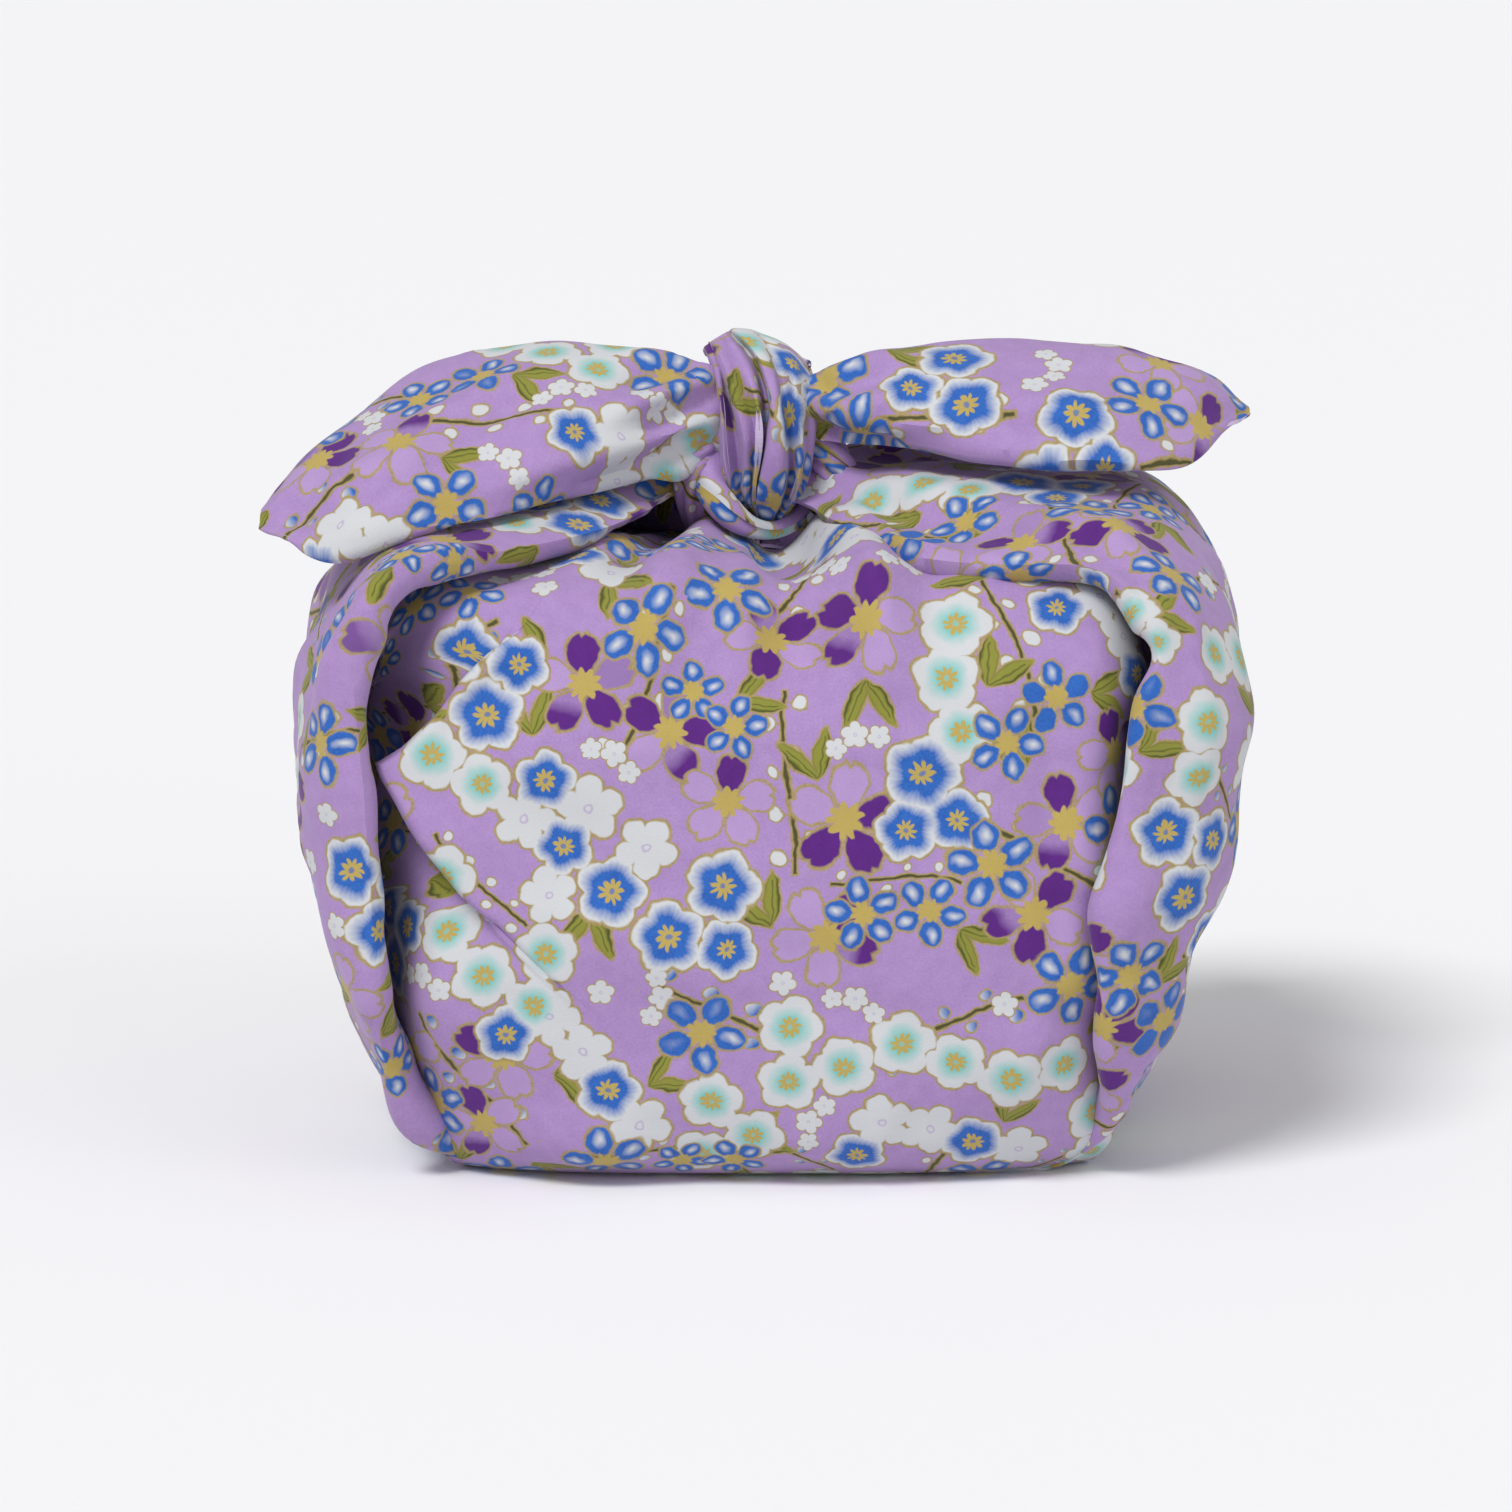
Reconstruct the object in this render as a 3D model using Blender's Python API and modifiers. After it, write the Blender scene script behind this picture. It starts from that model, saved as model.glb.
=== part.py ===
"""Furoshiki bag: one square cotton cloth wrapped round a box-like load and tied on top.

The cloth is one solid. It is made from the folds that one square takes: a strip that
runs over the top, down the front, under the load, up the back and over the top again,
a cradle that runs up both sides as wings and over the top as two fans, the knot that
the fans meet in, and the two ends that lie left and right of it. The load itself isn't
there, so the bag is a hollow that opens at the pleat beside the left wing.

X runs to the right, Y away from the viewer and Z up. The origin is under the middle of
the outline, on the surface that the bag stands on.
"""

import math

import bmesh
import bpy
from mathutils import Vector

# Sizes below are in millimetres, and the finished mesh is scaled to metres once.
MM = 0.001

CLOTH_THICKNESS = 2.0
STEPS_BETWEEN_STATIONS = 2

# The strip over the front and back: its path in the YZ plane, the reach of its two
# edges in X, and how far those edges are turned in (0 flat, 1 a full turned fold).
STRIP_COLUMNS = ("y", "z", "left", "right", "turned")
STRIP_STATIONS = (
    (26.0, 97.4, -30.0, 33.0, 0.0),
    (8.0, 98.8, -42.0, 44.0, 0.0),
    (-16.0, 99.0, -52.0, 53.0, 0.0),
    (-36.0, 98.4, -57.0, 58.0, 0.3),
    (-47.5, 94.8, -59.0, 60.5, 0.7),
    (-54.0, 86.0, -59.7, 61.5, 1.0),
    (-56.5, 70.0, -59.8, 62.0, 1.0),
    (-57.5, 50.0, -59.6, 61.0, 1.0),
    (-56.5, 30.0, -58.5, 59.5, 0.8),
    (-53.0, 13.0, -55.5, 57.5, 0.35),
    (-48.0, 4.0, -50.0, 55.0, 0.0),
    (-40.0, 0.0, -46.0, 51.0, 0.0),
    (-20.0, 0.0, -46.0, 51.0, 0.0),
    (0.0, 0.0, -46.0, 51.0, 0.0),
    (20.0, 0.0, -46.0, 51.0, 0.0),
    (40.0, 0.0, -46.0, 51.0, 0.0),
    (48.0, 4.0, -50.0, 55.0, 0.0),
    (53.0, 13.0, -55.5, 57.5, 0.35),
    (56.5, 30.0, -58.5, 59.5, 0.8),
    (57.5, 50.0, -59.6, 61.0, 1.0),
    (56.5, 70.0, -59.8, 62.0, 1.0),
    (54.0, 82.0, -59.7, 61.5, 1.0),
    (47.5, 90.5, -59.0, 60.5, 0.7),
    (36.0, 94.2, -57.0, 58.0, 0.3),
    (16.0, 95.4, -52.0, 53.0, 0.0),
    (-8.0, 95.4, -42.0, 44.0, 0.0),
    (-26.0, 94.4, -30.0, 33.0, 0.0),
)
# One edge of the strip, from its end inwards: along the width and into the bag.
STRIP_EDGE_FLAT = ((-8.0, 0.0), (-5.0, 0.0), (-2.0, 0.0), (1.0, 0.0), (4.5, 0.0))
STRIP_EDGE_TURNED = ((3.0, 13.0), (1.2, 8.5), (0.0, 4.6), (1.2, 1.4), (4.5, 0.0))
STRIP_MIDDLE_COLUMNS = 10

# The cradle: its path in the XZ plane, the reach of its edges in Y, how much of a rolled
# fold they are (0 flat, 1 full), how far that fold wraps round the corner of the load in
# X, and how far the edges drop below the crown.
CRADLE_COLUMNS = ("x", "z", "front", "back", "rolled", "wrap", "drop")
CRADLE_STATIONS = (
    (-5.0, 114.0, -8.0, 9.0, 0.0, 0.0, 6.0),
    (-15.0, 113.6, -11.0, 12.0, 0.0, 0.0, 6.0),
    (-27.0, 112.6, -21.0, 22.0, 0.0, 0.0, 5.6),
    (-41.0, 110.6, -34.0, 35.0, 0.0, 0.0, 5.6),
    (-54.0, 107.6, -46.0, 47.0, 0.15, 4.0, 4.4),
    (-65.0, 102.0, -54.5, 55.0, 0.5, 9.0, 2.4),
    (-72.0, 93.0, -59.5, 59.5, 0.9, 10.0, 0.8),
    (-75.4, 81.0, -61.5, 61.5, 1.0, 10.0, 0.0),
    (-75.6, 66.0, -62.5, 62.5, 1.0, 10.0, 0.0),
    (-74.6, 50.0, -62.5, 62.5, 1.0, 9.4, 0.0),
    (-71.6, 32.0, -60.5, 60.5, 0.9, 7.8, 0.0),
    (-67.0, 16.0, -56.0, 56.0, 0.6, 7.0, 0.0),
    (-60.5, 5.0, -49.5, 49.5, 0.2, 6.0, 0.0),
    (-52.0, 0.7, -44.0, 44.0, 0.0, 0.0, 0.0),
    (-26.0, 0.7, -42.0, 42.0, 0.0, 0.0, 0.0),
    (2.0, 0.7, -42.0, 42.0, 0.0, 0.0, 0.0),
    (30.0, 0.7, -42.0, 42.0, 0.0, 0.0, 0.0),
    (57.0, 0.7, -44.0, 44.0, 0.0, 0.0, 0.0),
    (64.5, 5.0, -49.5, 49.5, 0.2, 8.0, 0.0),
    (70.5, 16.0, -56.0, 56.0, 0.6, 13.0, 0.0),
    (75.0, 32.0, -60.5, 60.5, 0.9, 18.5, 0.0),
    (79.0, 50.0, -62.0, 62.0, 1.0, 21.0, 0.0),
    (81.4, 68.0, -61.5, 61.5, 1.0, 20.5, 0.0),
    (81.2, 84.0, -59.5, 60.0, 1.0, 16.5, 0.0),
    (78.0, 97.0, -56.5, 57.0, 0.8, 13.0, 1.0),
    (70.5, 106.0, -52.0, 53.0, 0.4, 7.0, 3.4),
    (57.0, 110.4, -45.0, 46.0, 0.1, 3.0, 6.0),
    (42.0, 112.2, -34.0, 35.0, 0.0, 0.0, 6.6),
    (27.0, 113.2, -21.0, 22.0, 0.0, 0.0, 6.0),
    (15.0, 113.8, -11.0, 12.0, 0.0, 0.0, 6.0),
    (5.0, 114.0, -8.0, 9.0, 0.0, 0.0, 6.0),
)
# One edge of the cradle, from its end inwards: along Y from the reach, and the share of
# the wrap.
CRADLE_EDGE_FLAT = (
    (0.0, 0.0), (1.8, 0.0), (3.6, 0.0), (5.6, 0.0), (7.6, 0.0), (9.8, 0.0), (12.0, 0.0)
)
CRADLE_EDGE_ROLLED = (
    (1.6, 1.0), (0.8, 0.9), (0.2, 0.76), (0.0, 0.54), (1.2, 0.27), (5.0, 0.07), (12.0, 0.0)
)
CRADLE_MIDDLE_COLUMNS = 7
# Where the cradle is narrower than this, its rolled edges shrink with it.
FULL_EDGE_WIDTH = 60.0
# Soft pleats that run from the shoulders to the knot: how many, and their height.
FAN_PLEATS = 5
FAN_PLEAT_HEIGHT = 1.3

# The pointed fold in the front: its upper line, point and lower line, as x and z, and how
# far the cloth sinks in beyond it.
FRONT_FOLD = ((-36.0, 96.0), (-59.5, 64.0), (-38.0, 30.0))
FRONT_FOLD_DEPTH = 7.0
FRONT_FOLD_RUN = 9.0
# The front is the part of the strip that lies nearer than this.
FRONT_REACH = -50.0

# The knot: a drum of cloth wound round the X axis, with a groove between its turns.
KNOT_CENTRE = (0.6, -1.0, 117.2)
KNOT_HALF_LENGTH = 11.0
KNOT_HALF_DEPTH = 14.5
KNOT_HALF_HEIGHT = 17.4
KNOT_TURNS = 3
KNOT_GROOVE = 0.07
KNOT_SLANT = 0.5
KNOT_STEPS_ALONG = 18
KNOT_STEPS_ROUND = 22

# The two ends. Each is a tent of cloth: a lower front edge, a ridge and a lower back edge
# at each station, from the knot to the tip.
END_COLUMNS = ("x", "front_y", "front_z", "ridge_y", "ridge_z", "back_y", "back_z")
LEFT_END_STATIONS = (
    (-4.0, -9.0, 116.0, -2.0, 126.0, 4.0, 119.0),
    (-12.0, -15.0, 114.0, -3.0, 130.4, 6.0, 121.0),
    (-24.0, -24.0, 112.5, -4.0, 132.6, 8.0, 122.4),
    (-37.0, -32.0, 110.5, -4.0, 132.2, 9.0, 122.4),
    (-50.0, -38.5, 108.0, -5.0, 129.0, 8.0, 121.4),
    (-62.0, -43.0, 105.6, -7.0, 123.6, 5.0, 118.4),
    (-71.5, -44.0, 103.6, -12.0, 117.4, -1.0, 114.0),
    (-78.0, -38.0, 103.6, -19.0, 110.8, -10.0, 109.5),
    (-82.4, -30.0, 104.6, -26.0, 106.4, -20.0, 105.6),
)
RIGHT_END_STATIONS = (
    (5.0, -9.0, 116.5, -2.0, 126.0, 4.0, 119.0),
    (13.0, -14.0, 116.8, -3.0, 129.4, 6.0, 121.0),
    (25.0, -21.0, 116.6, -4.0, 132.4, 9.0, 123.4),
    (38.0, -26.0, 115.2, -4.0, 133.2, 11.0, 123.6),
    (51.0, -28.0, 115.2, -4.0, 133.0, 12.0, 123.6),
    (63.0, -27.0, 114.6, -4.0, 131.6, 11.0, 122.6),
    (72.0, -22.0, 116.0, -3.0, 128.0, 8.0, 121.6),
    (78.5, -13.0, 119.0, -2.0, 124.4, 4.0, 121.4),
    (82.6, -4.0, 121.0, -1.0, 122.0, 2.0, 121.2),
)
END_STEPS_PER_SLOPE = 4
END_RIDGE_ROUNDING = 0.22

PRINT_COLOUR = (0.46, 0.30, 0.60, 1.0)
CLOTH_ROUGHNESS = 0.85


def named_rows(columns, stations):
    """The stations as dictionaries, so that the code below reads them by name."""
    return [dict(zip(columns, station)) for station in stations]


def smooth_value(before, start, end, after, share):
    """A Catmull-Rom curve between start and end."""
    return 0.5 * (
        2.0 * start
        + (end - before) * share
        + (2.0 * before - 5.0 * start + 4.0 * end - after) * share ** 2
        + (3.0 * start - before - 3.0 * end + after) * share ** 3
    )


def smooth_rows(columns, stations, steps=STEPS_BETWEEN_STATIONS):
    """The stations and the rows between them, on one smooth curve."""
    rows = named_rows(columns, stations)
    last = len(rows) - 1
    found = []
    for index in range(last):
        four = [rows[min(max(index + shift, 0), last)] for shift in (-1, 0, 1, 2)]
        for step in range(steps):
            values = {
                name: smooth_value(*[row[name] for row in four], step / steps)
                for name in columns
            }
            found.append(values)
    found.append(rows[last])
    return found


def inward_normals(path, middle):
    """For each point of a path in a plane, the unit vector across it, towards middle."""
    normals = []
    for index in range(len(path)):
        before = path[max(index - 1, 0)]
        after = path[min(index + 1, len(path) - 1)]
        along = (after - before).normalized()
        across = Vector((-along.y, along.x))
        normals.append(across)
    centre_row = len(path) // 2
    if normals[centre_row].dot(middle - path[centre_row]) < 0.0:
        normals = [-normal for normal in normals]
    return normals


def mixed_edge(flat, folded, share):
    """An edge profile between its flat form and its folded one."""
    return [
        ((1.0 - share) * a[0] + share * b[0], (1.0 - share) * a[1] + share * b[1])
        for a, b in zip(flat, folded)
    ]


def cross_profile(edge_near, edge_far, near, far, middle_columns, edge_scale=1.0):
    """Points across a strip, as (place along the width, depth into the bag)."""
    profile = [(near + edge_scale * along, depth) for along, depth in edge_near]
    start = profile[-1][0]
    end = far - edge_scale * edge_far[-1][0]
    for step in range(1, middle_columns + 1):
        share = step / (middle_columns + 1)
        profile.append(((1.0 - share) * start + share * end, 0.0))
    profile += [(far - edge_scale * along, depth) for along, depth in reversed(edge_far)]
    return profile


def soft_step(value):
    """0 below 0, 1 above 1 and a smooth rise between them."""
    share = min(max(value, 0.0), 1.0)
    return share * share * (3.0 - 2.0 * share)


def front_fold_depth(x, z):
    """How far the front sinks in beyond the pointed fold at this place."""
    upper, point, lower = FRONT_FOLD
    other = upper if z > point[1] else lower
    share = (z - point[1]) / (other[1] - point[1])
    fold_x = point[0] + share * (other[0] - point[0])
    fade = soft_step(1.35 - share)
    return FRONT_FOLD_DEPTH * fade * soft_step((fold_x - x) / FRONT_FOLD_RUN)


def strip_points():
    """The strip over the front, bottom and back, as rows of points."""
    rows = smooth_rows(STRIP_COLUMNS, STRIP_STATIONS)
    path = [Vector((row["y"], max(row["z"], 0.0))) for row in rows]
    normals = inward_normals(path, Vector((0.0, 50.0)))
    grid = []
    for row, point, normal in zip(rows, path, normals):
        turned = min(max(row["turned"], 0.0), 1.0)
        edge = mixed_edge(STRIP_EDGE_FLAT, STRIP_EDGE_TURNED, turned)
        profile = cross_profile(
            edge, edge, row["left"], row["right"], STRIP_MIDDLE_COLUMNS
        )
        line = []
        for x, depth in profile:
            if point.x < FRONT_REACH:
                turned_in = min(depth / STRIP_EDGE_TURNED[0][1], 1.0)
                depth += front_fold_depth(x, point.y) * (1.0 - turned_in)
            place = point + depth * normal
            line.append(Vector((x, place.x, place.y)))
        grid.append(line)
    return grid


def fan_pleats(across, crown_height, width):
    """The height of the soft pleats over the top, across a fan from edge to edge."""
    share = soft_step((crown_height - 96.0) / 10.0) * soft_step(width / FULL_EDGE_WIDTH)
    wave = math.cos(across * FAN_PLEATS * math.tau) - 1.0
    return share * 0.5 * FAN_PLEAT_HEIGHT * wave


def cradle_points():
    """The cradle up both sides and over the top to the knot, as rows of points."""
    rows = smooth_rows(CRADLE_COLUMNS, CRADLE_STATIONS)
    path = [Vector((row["x"], row["z"])) for row in rows]
    normals = inward_normals(path, Vector((0.0, 50.0)))
    grid = []
    for row, point, normal in zip(rows, path, normals):
        rolled = [(along, share * row["wrap"]) for along, share in CRADLE_EDGE_ROLLED]
        edge = mixed_edge(CRADLE_EDGE_FLAT, rolled, min(max(row["rolled"], 0.0), 1.0))
        width = row["back"] - row["front"]
        profile = cross_profile(
            edge,
            edge,
            row["front"],
            row["back"],
            CRADLE_MIDDLE_COLUMNS,
            min(1.0, width / FULL_EDGE_WIDTH),
        )
        line = []
        for y, depth in profile:
            across = (y - row["front"]) / width
            arch = (2.0 * across - 1.0) ** 2
            place = point + depth * normal
            drop = row["drop"] * arch - fan_pleats(across, row["z"], width)
            line.append(Vector((place.x, y, place.y - drop)))
        grid.append(line)
    return grid


def end_points(stations):
    """One end of the cloth, a tent from its front edge over the ridge to its back edge."""
    grid = []
    for row in smooth_rows(END_COLUMNS, stations):
        front = Vector((row["x"], row["front_y"], row["front_z"]))
        ridge = Vector((row["x"], row["ridge_y"], row["ridge_z"]))
        back = Vector((row["x"], row["back_y"], row["back_z"]))
        flat = (front + back) / 2.0
        line = []
        for step in range(-END_STEPS_PER_SLOPE, END_STEPS_PER_SLOPE + 1):
            share = abs(step) / END_STEPS_PER_SLOPE
            foot = front if step < 0 else back
            place = ridge.lerp(foot, share)
            rounding = END_RIDGE_ROUNDING * (1.0 - share) ** 3
            line.append(place.lerp(flat, rounding))
        grid.append(line)
    return grid


def knot_points():
    """The closed surface of the knot, as rings along X."""
    grid = []
    for ring in range(KNOT_STEPS_ALONG + 1):
        angle = math.pi * ring / KNOT_STEPS_ALONG
        along = -math.cos(angle)
        outline = math.sin(angle) ** 0.6 if 0 < ring < KNOT_STEPS_ALONG else 0.0
        line = []
        for step in range(KNOT_STEPS_ROUND):
            turn = math.tau * step / KNOT_STEPS_ROUND
            slant = KNOT_SLANT * math.cos(turn)
            groove = math.cos((along * KNOT_TURNS + slant) * math.pi)
            reach = outline * (1.0 + KNOT_GROOVE * groove)
            line.append(
                Vector(
                    (
                        KNOT_CENTRE[0] + KNOT_HALF_LENGTH * along,
                        KNOT_CENTRE[1] + KNOT_HALF_DEPTH * reach * math.cos(turn),
                        KNOT_CENTRE[2] + KNOT_HALF_HEIGHT * reach * math.sin(turn),
                    )
                )
            )
        grid.append(line)
    return grid


def mesh_from_grid(name, grid, closed_round=False):
    """A mesh object from rows of points, in metres, with its faces all one way."""
    shape = bmesh.new()
    rows = [[shape.verts.new(point * MM) for point in line] for line in grid]
    for near, far in zip(rows, rows[1:]):
        count = len(near)
        for index in range(count if closed_round else count - 1):
            other = (index + 1) % count
            shape.faces.new((near[index], near[other], far[other], far[index]))
    bmesh.ops.remove_doubles(shape, verts=shape.verts, dist=1e-6)
    bmesh.ops.recalc_face_normals(shape, faces=shape.faces)
    mesh = bpy.data.meshes.new(name)
    shape.to_mesh(mesh)
    shape.free()
    return bpy.data.objects.new(name, mesh)


def face_outwards(obj, place, outward):
    """Turns an open sheet round where its face nearest to place doesn't look outward."""
    nearest = min(
        obj.data.polygons, key=lambda face: (face.center - Vector(place) * MM).length
    )
    if nearest.normal.dot(Vector(outward)) < 0.0:
        obj.data.flip_normals()


def thicken(obj):
    """Gives an open sheet its thickness, inwards from the modelled surface."""
    solid = obj.modifiers.new("thickness", "SOLIDIFY")
    solid.thickness = CLOTH_THICKNESS * MM
    solid.offset = -1.0
    solid.use_even_offset = True
    solid.thickness_clamp = 0.6


def join_fold(cloth, fold):
    """Adds a fold to the cloth as one solid with it."""
    union = cloth.modifiers.new(f"with {fold.name}", "BOOLEAN")
    union.operation = "UNION"
    union.object = fold
    fold.hide_render = True
    fold.display_type = "WIRE"


def cloth_material():
    """The printed cotton, as one plain colour."""
    material = bpy.data.materials.new("printed_cotton")
    material.use_nodes = True
    shader = material.node_tree.nodes["Principled BSDF"]
    shader.inputs["Base Color"].default_value = PRINT_COLOUR
    shader.inputs["Roughness"].default_value = CLOTH_ROUGHNESS
    shader.inputs["Metallic"].default_value = 0.0
    return material


def new_collection(name):
    collection = bpy.data.collections.new(name)
    bpy.context.scene.collection.children.link(collection)
    return collection


def centre_on_base(cloth, folds):
    """Moves all the folds so that the outline's middle is over the origin."""
    corners = [vertex.co for obj in [cloth, *folds] for vertex in obj.data.vertices]
    middle_x = (min(c.x for c in corners) + max(c.x for c in corners)) / 2.0
    middle_y = (min(c.y for c in corners) + max(c.y for c in corners)) / 2.0
    for obj in [cloth, *folds]:
        for vertex in obj.data.vertices:
            vertex.co -= Vector((middle_x, middle_y, 0.0))


def build():
    for obj in list(bpy.data.objects):
        bpy.data.objects.remove(obj)
    shown = new_collection("furoshiki_bag")
    helpers = new_collection("folds_joined_in")

    cloth = mesh_from_grid("cloth", strip_points())
    face_outwards(cloth, (0.0, -59.0, 50.0), (0.0, -1.0, 0.0))
    cradle = mesh_from_grid("cradle_fold", cradle_points())
    face_outwards(cradle, (-75.0, 0.0, 60.0), (-1.0, 0.0, 0.0))
    left_end = mesh_from_grid("left_end_fold", end_points(LEFT_END_STATIONS))
    face_outwards(left_end, (-40.0, -18.0, 122.0), (0.0, -1.0, 1.0))
    right_end = mesh_from_grid("right_end_fold", end_points(RIGHT_END_STATIONS))
    face_outwards(right_end, (40.0, -18.0, 122.0), (0.0, -1.0, 1.0))
    knot = mesh_from_grid("knot_fold", knot_points(), closed_round=True)

    sheets = [cradle, left_end, right_end]
    for sheet in [cloth, *sheets]:
        thicken(sheet)
    shown.objects.link(cloth)
    for fold in [*sheets, knot]:
        helpers.objects.link(fold)
        join_fold(cloth, fold)
    centre_on_base(cloth, [*sheets, knot])
    cloth.data.materials.append(cloth_material())
    cloth.data.shade_smooth()
    cloth.data.set_sharp_from_angle(angle=math.radians(50.0))


build()
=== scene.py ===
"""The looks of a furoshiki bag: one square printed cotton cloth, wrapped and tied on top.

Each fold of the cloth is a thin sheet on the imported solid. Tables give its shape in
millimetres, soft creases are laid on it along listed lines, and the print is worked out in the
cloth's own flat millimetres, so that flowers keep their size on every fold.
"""

import math

import bpy
import numpy as np
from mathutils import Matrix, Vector


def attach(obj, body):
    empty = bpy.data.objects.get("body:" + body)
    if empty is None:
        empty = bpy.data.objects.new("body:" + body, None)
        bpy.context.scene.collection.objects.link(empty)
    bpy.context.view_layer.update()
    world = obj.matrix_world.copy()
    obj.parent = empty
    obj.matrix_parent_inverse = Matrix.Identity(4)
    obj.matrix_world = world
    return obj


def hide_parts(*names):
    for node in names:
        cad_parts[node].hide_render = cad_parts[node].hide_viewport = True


bl_info = {
    "name": "Furoshiki bag",
    "version": (1, 0, 0),
    "blender": (4, 5, 0),
    "location": "3D View > Sidebar > Furoshiki",
    "description": "Builds the folds, the knot and the print of a tied cotton cloth",
    "category": "Add Mesh",
}

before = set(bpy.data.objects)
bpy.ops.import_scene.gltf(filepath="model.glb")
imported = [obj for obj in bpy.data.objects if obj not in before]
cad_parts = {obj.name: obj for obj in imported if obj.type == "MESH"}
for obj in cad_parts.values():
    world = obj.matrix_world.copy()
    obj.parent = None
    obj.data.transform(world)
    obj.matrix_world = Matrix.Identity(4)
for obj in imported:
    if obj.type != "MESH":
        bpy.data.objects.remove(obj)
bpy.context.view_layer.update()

# Tables are in millimetres, and meshes are written in metres.
MM = 0.001
PHOTO_PIXELS = 1512.0
COTTON = "cotton_with_flowers"


# ---------------------------------------------------------------- curves and grids


def through(values, count):
    """Evenly spaced points on one smooth curve through the rows of values."""
    values = np.asarray(values, float)
    shape = (-1, *[1] * (values.ndim - 1))
    gaps = np.linalg.norm(np.diff(values, axis=0), axis=-1)
    gaps = np.maximum(gaps.reshape(len(values) - 1, -1).mean(axis=1), 1e-6)
    knots = np.concatenate([[0.0], np.cumsum(gaps)])
    slopes = np.diff(values, axis=0) / gaps.reshape(shape)
    before, after = gaps[:-1].reshape(shape), gaps[1:].reshape(shape)
    inner = (slopes[:-1] * after + slopes[1:] * before) / (before + after)
    slopes = np.concatenate([slopes[:1], inner, slopes[-1:]])
    places = np.linspace(0.0, knots[-1], count)
    index = np.clip(np.searchsorted(knots, places, side="right") - 1, 0, len(gaps) - 1)
    share = ((places - knots[index]) / gaps[index]).reshape(shape)
    gap = gaps[index].reshape(shape)
    turn = share * share * (3.0 - 2.0 * share)
    return (
        values[index] * (1.0 - turn) + values[index + 1] * turn
        + gap * slopes[index] * share * (1.0 - share) ** 2
        - gap * slopes[index + 1] * share**2 * (1.0 - share)
    )


def step(value):
    """0 below 0, 1 above 1 and a smooth rise between them."""
    share = np.clip(value, 0.0, 1.0)
    return share * share * (3.0 - 2.0 * share)


def grid_length(grid, axis):
    """The mean length of a grid's rows or columns."""
    return float(np.linalg.norm(np.diff(grid, axis=axis), axis=2).sum(axis=axis).mean())


def dense(control, spacing):
    """A fine grid on the smooth surface through a coarse one."""
    control = np.asarray(control, float)
    rows = max(int(grid_length(control, 0) / spacing), 4)
    columns = max(int(grid_length(control, 1) / spacing), 4)
    return through(
        through(control, rows + 1).transpose(1, 0, 2), columns + 1
    ).transpose(1, 0, 2)


def even_rows(grid, spacing):
    """The same surface with its rows evenly spaced along its middle column."""
    middle = grid[:, grid.shape[1] // 2]
    run = np.concatenate(
        [[0.0], np.cumsum(np.linalg.norm(np.diff(middle, axis=0), axis=1))]
    )
    wanted = np.linspace(0.0, run[-1], max(int(run[-1] / spacing), 4) + 1)
    places = np.interp(wanted, run, np.arange(len(run)))
    low = np.minimum(places.astype(int), len(run) - 2)
    share = (places - low)[:, None, None]
    return grid[low] * (1.0 - share) + grid[low + 1] * share


def normals_of(grid, outward):
    """Unit normals, turned to the side of outward at the middle of the grid."""
    along = np.gradient(grid, axis=0)
    across = np.gradient(grid, axis=1)
    normals = np.cross(along, across)
    normals /= np.maximum(np.linalg.norm(normals, axis=2, keepdims=True), 1e-9)
    middle = normals[grid.shape[0] // 2, grid.shape[1] // 2]
    return normals if middle @ np.asarray(outward, float) > 0.0 else -normals


def cloth_place(grid, corner, turn=0.0):
    """Each point's place on the flat cloth: along its row, and along the middle column."""
    middle = grid.shape[1] // 2
    over = np.linalg.norm(np.diff(grid, axis=1), axis=2)
    across = np.concatenate([np.zeros((len(grid), 1)), np.cumsum(over, axis=1)], axis=1)
    across -= across[:, middle : middle + 1]
    run = np.linalg.norm(np.diff(grid[:, middle], axis=0), axis=1)
    along = np.concatenate([[0.0], np.cumsum(run)])[:, None] + 0.0 * across
    cos, sin = math.cos(math.radians(turn)), math.sin(math.radians(turn))
    return np.stack(
        [
            corner[0] + cos * across - sin * along,
            corner[1] + sin * across + cos * along,
        ],
        axis=2,
    )


def flattened(grid, corner, turn, cell=3.0, rounds=500, pace=0.2):
    """Each point's place on the flat cloth, with all lengths kept as nearly as they can be."""
    start = cloth_place(grid, corner, turn)
    rows, columns = (
        np.linspace(0, grid.shape[axis] - 1, max(int(grid_length(grid, axis) / cell), 6) + 1)
        .round().astype(int)
        for axis in (0, 1)
    )
    part = np.ix_(rows, columns)
    solid, place = grid[part], start[part]
    near, far, every = slice(None, -1), slice(1, None), slice(None)
    pairs = [
        (first, second, np.linalg.norm(solid[second] - solid[first], axis=2)[..., None])
        for first, second in (
            ((near, every), (far, every)), ((every, near), (every, far)),
            ((near, near), (far, far)), ((near, far), (far, near)),
        )
    ]
    for _ in range(rounds):
        move = np.zeros_like(place)
        for first, second, wanted in pairs:
            way = place[second] - place[first]
            length = np.maximum(np.linalg.norm(way, axis=2, keepdims=True), 1e-6)
            pull = (0.5 - 0.5 * wanted / length) * way
            move[first] += pull
            move[second] -= pull
        place = place + pace * move
    for axis, picked in ((0, rows), (1, columns)):
        spot = np.interp(np.arange(grid.shape[axis]), picked, np.arange(len(picked)))
        low = np.minimum(spot.astype(int), len(picked) - 2)
        share = (spot - low).reshape((-1, 1, 1) if axis == 0 else (1, -1, 1))
        place = np.take(place, low, axis) * (1.0 - share) + (
            np.take(place, low + 1, axis) * share
        )
    return place


# ---------------------------------------------------------------- creases

# The photograph's camera: its distance and height angle, what it looks at, and how many
# millimetres the picture is wide there.
CAMERA_DISTANCE = 900.0
CAMERA_ELEVATION = 10.0
CAMERA_AIM = (0.0, 0.0, 62.0)
FRAME_WIDTH = 253.4


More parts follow.
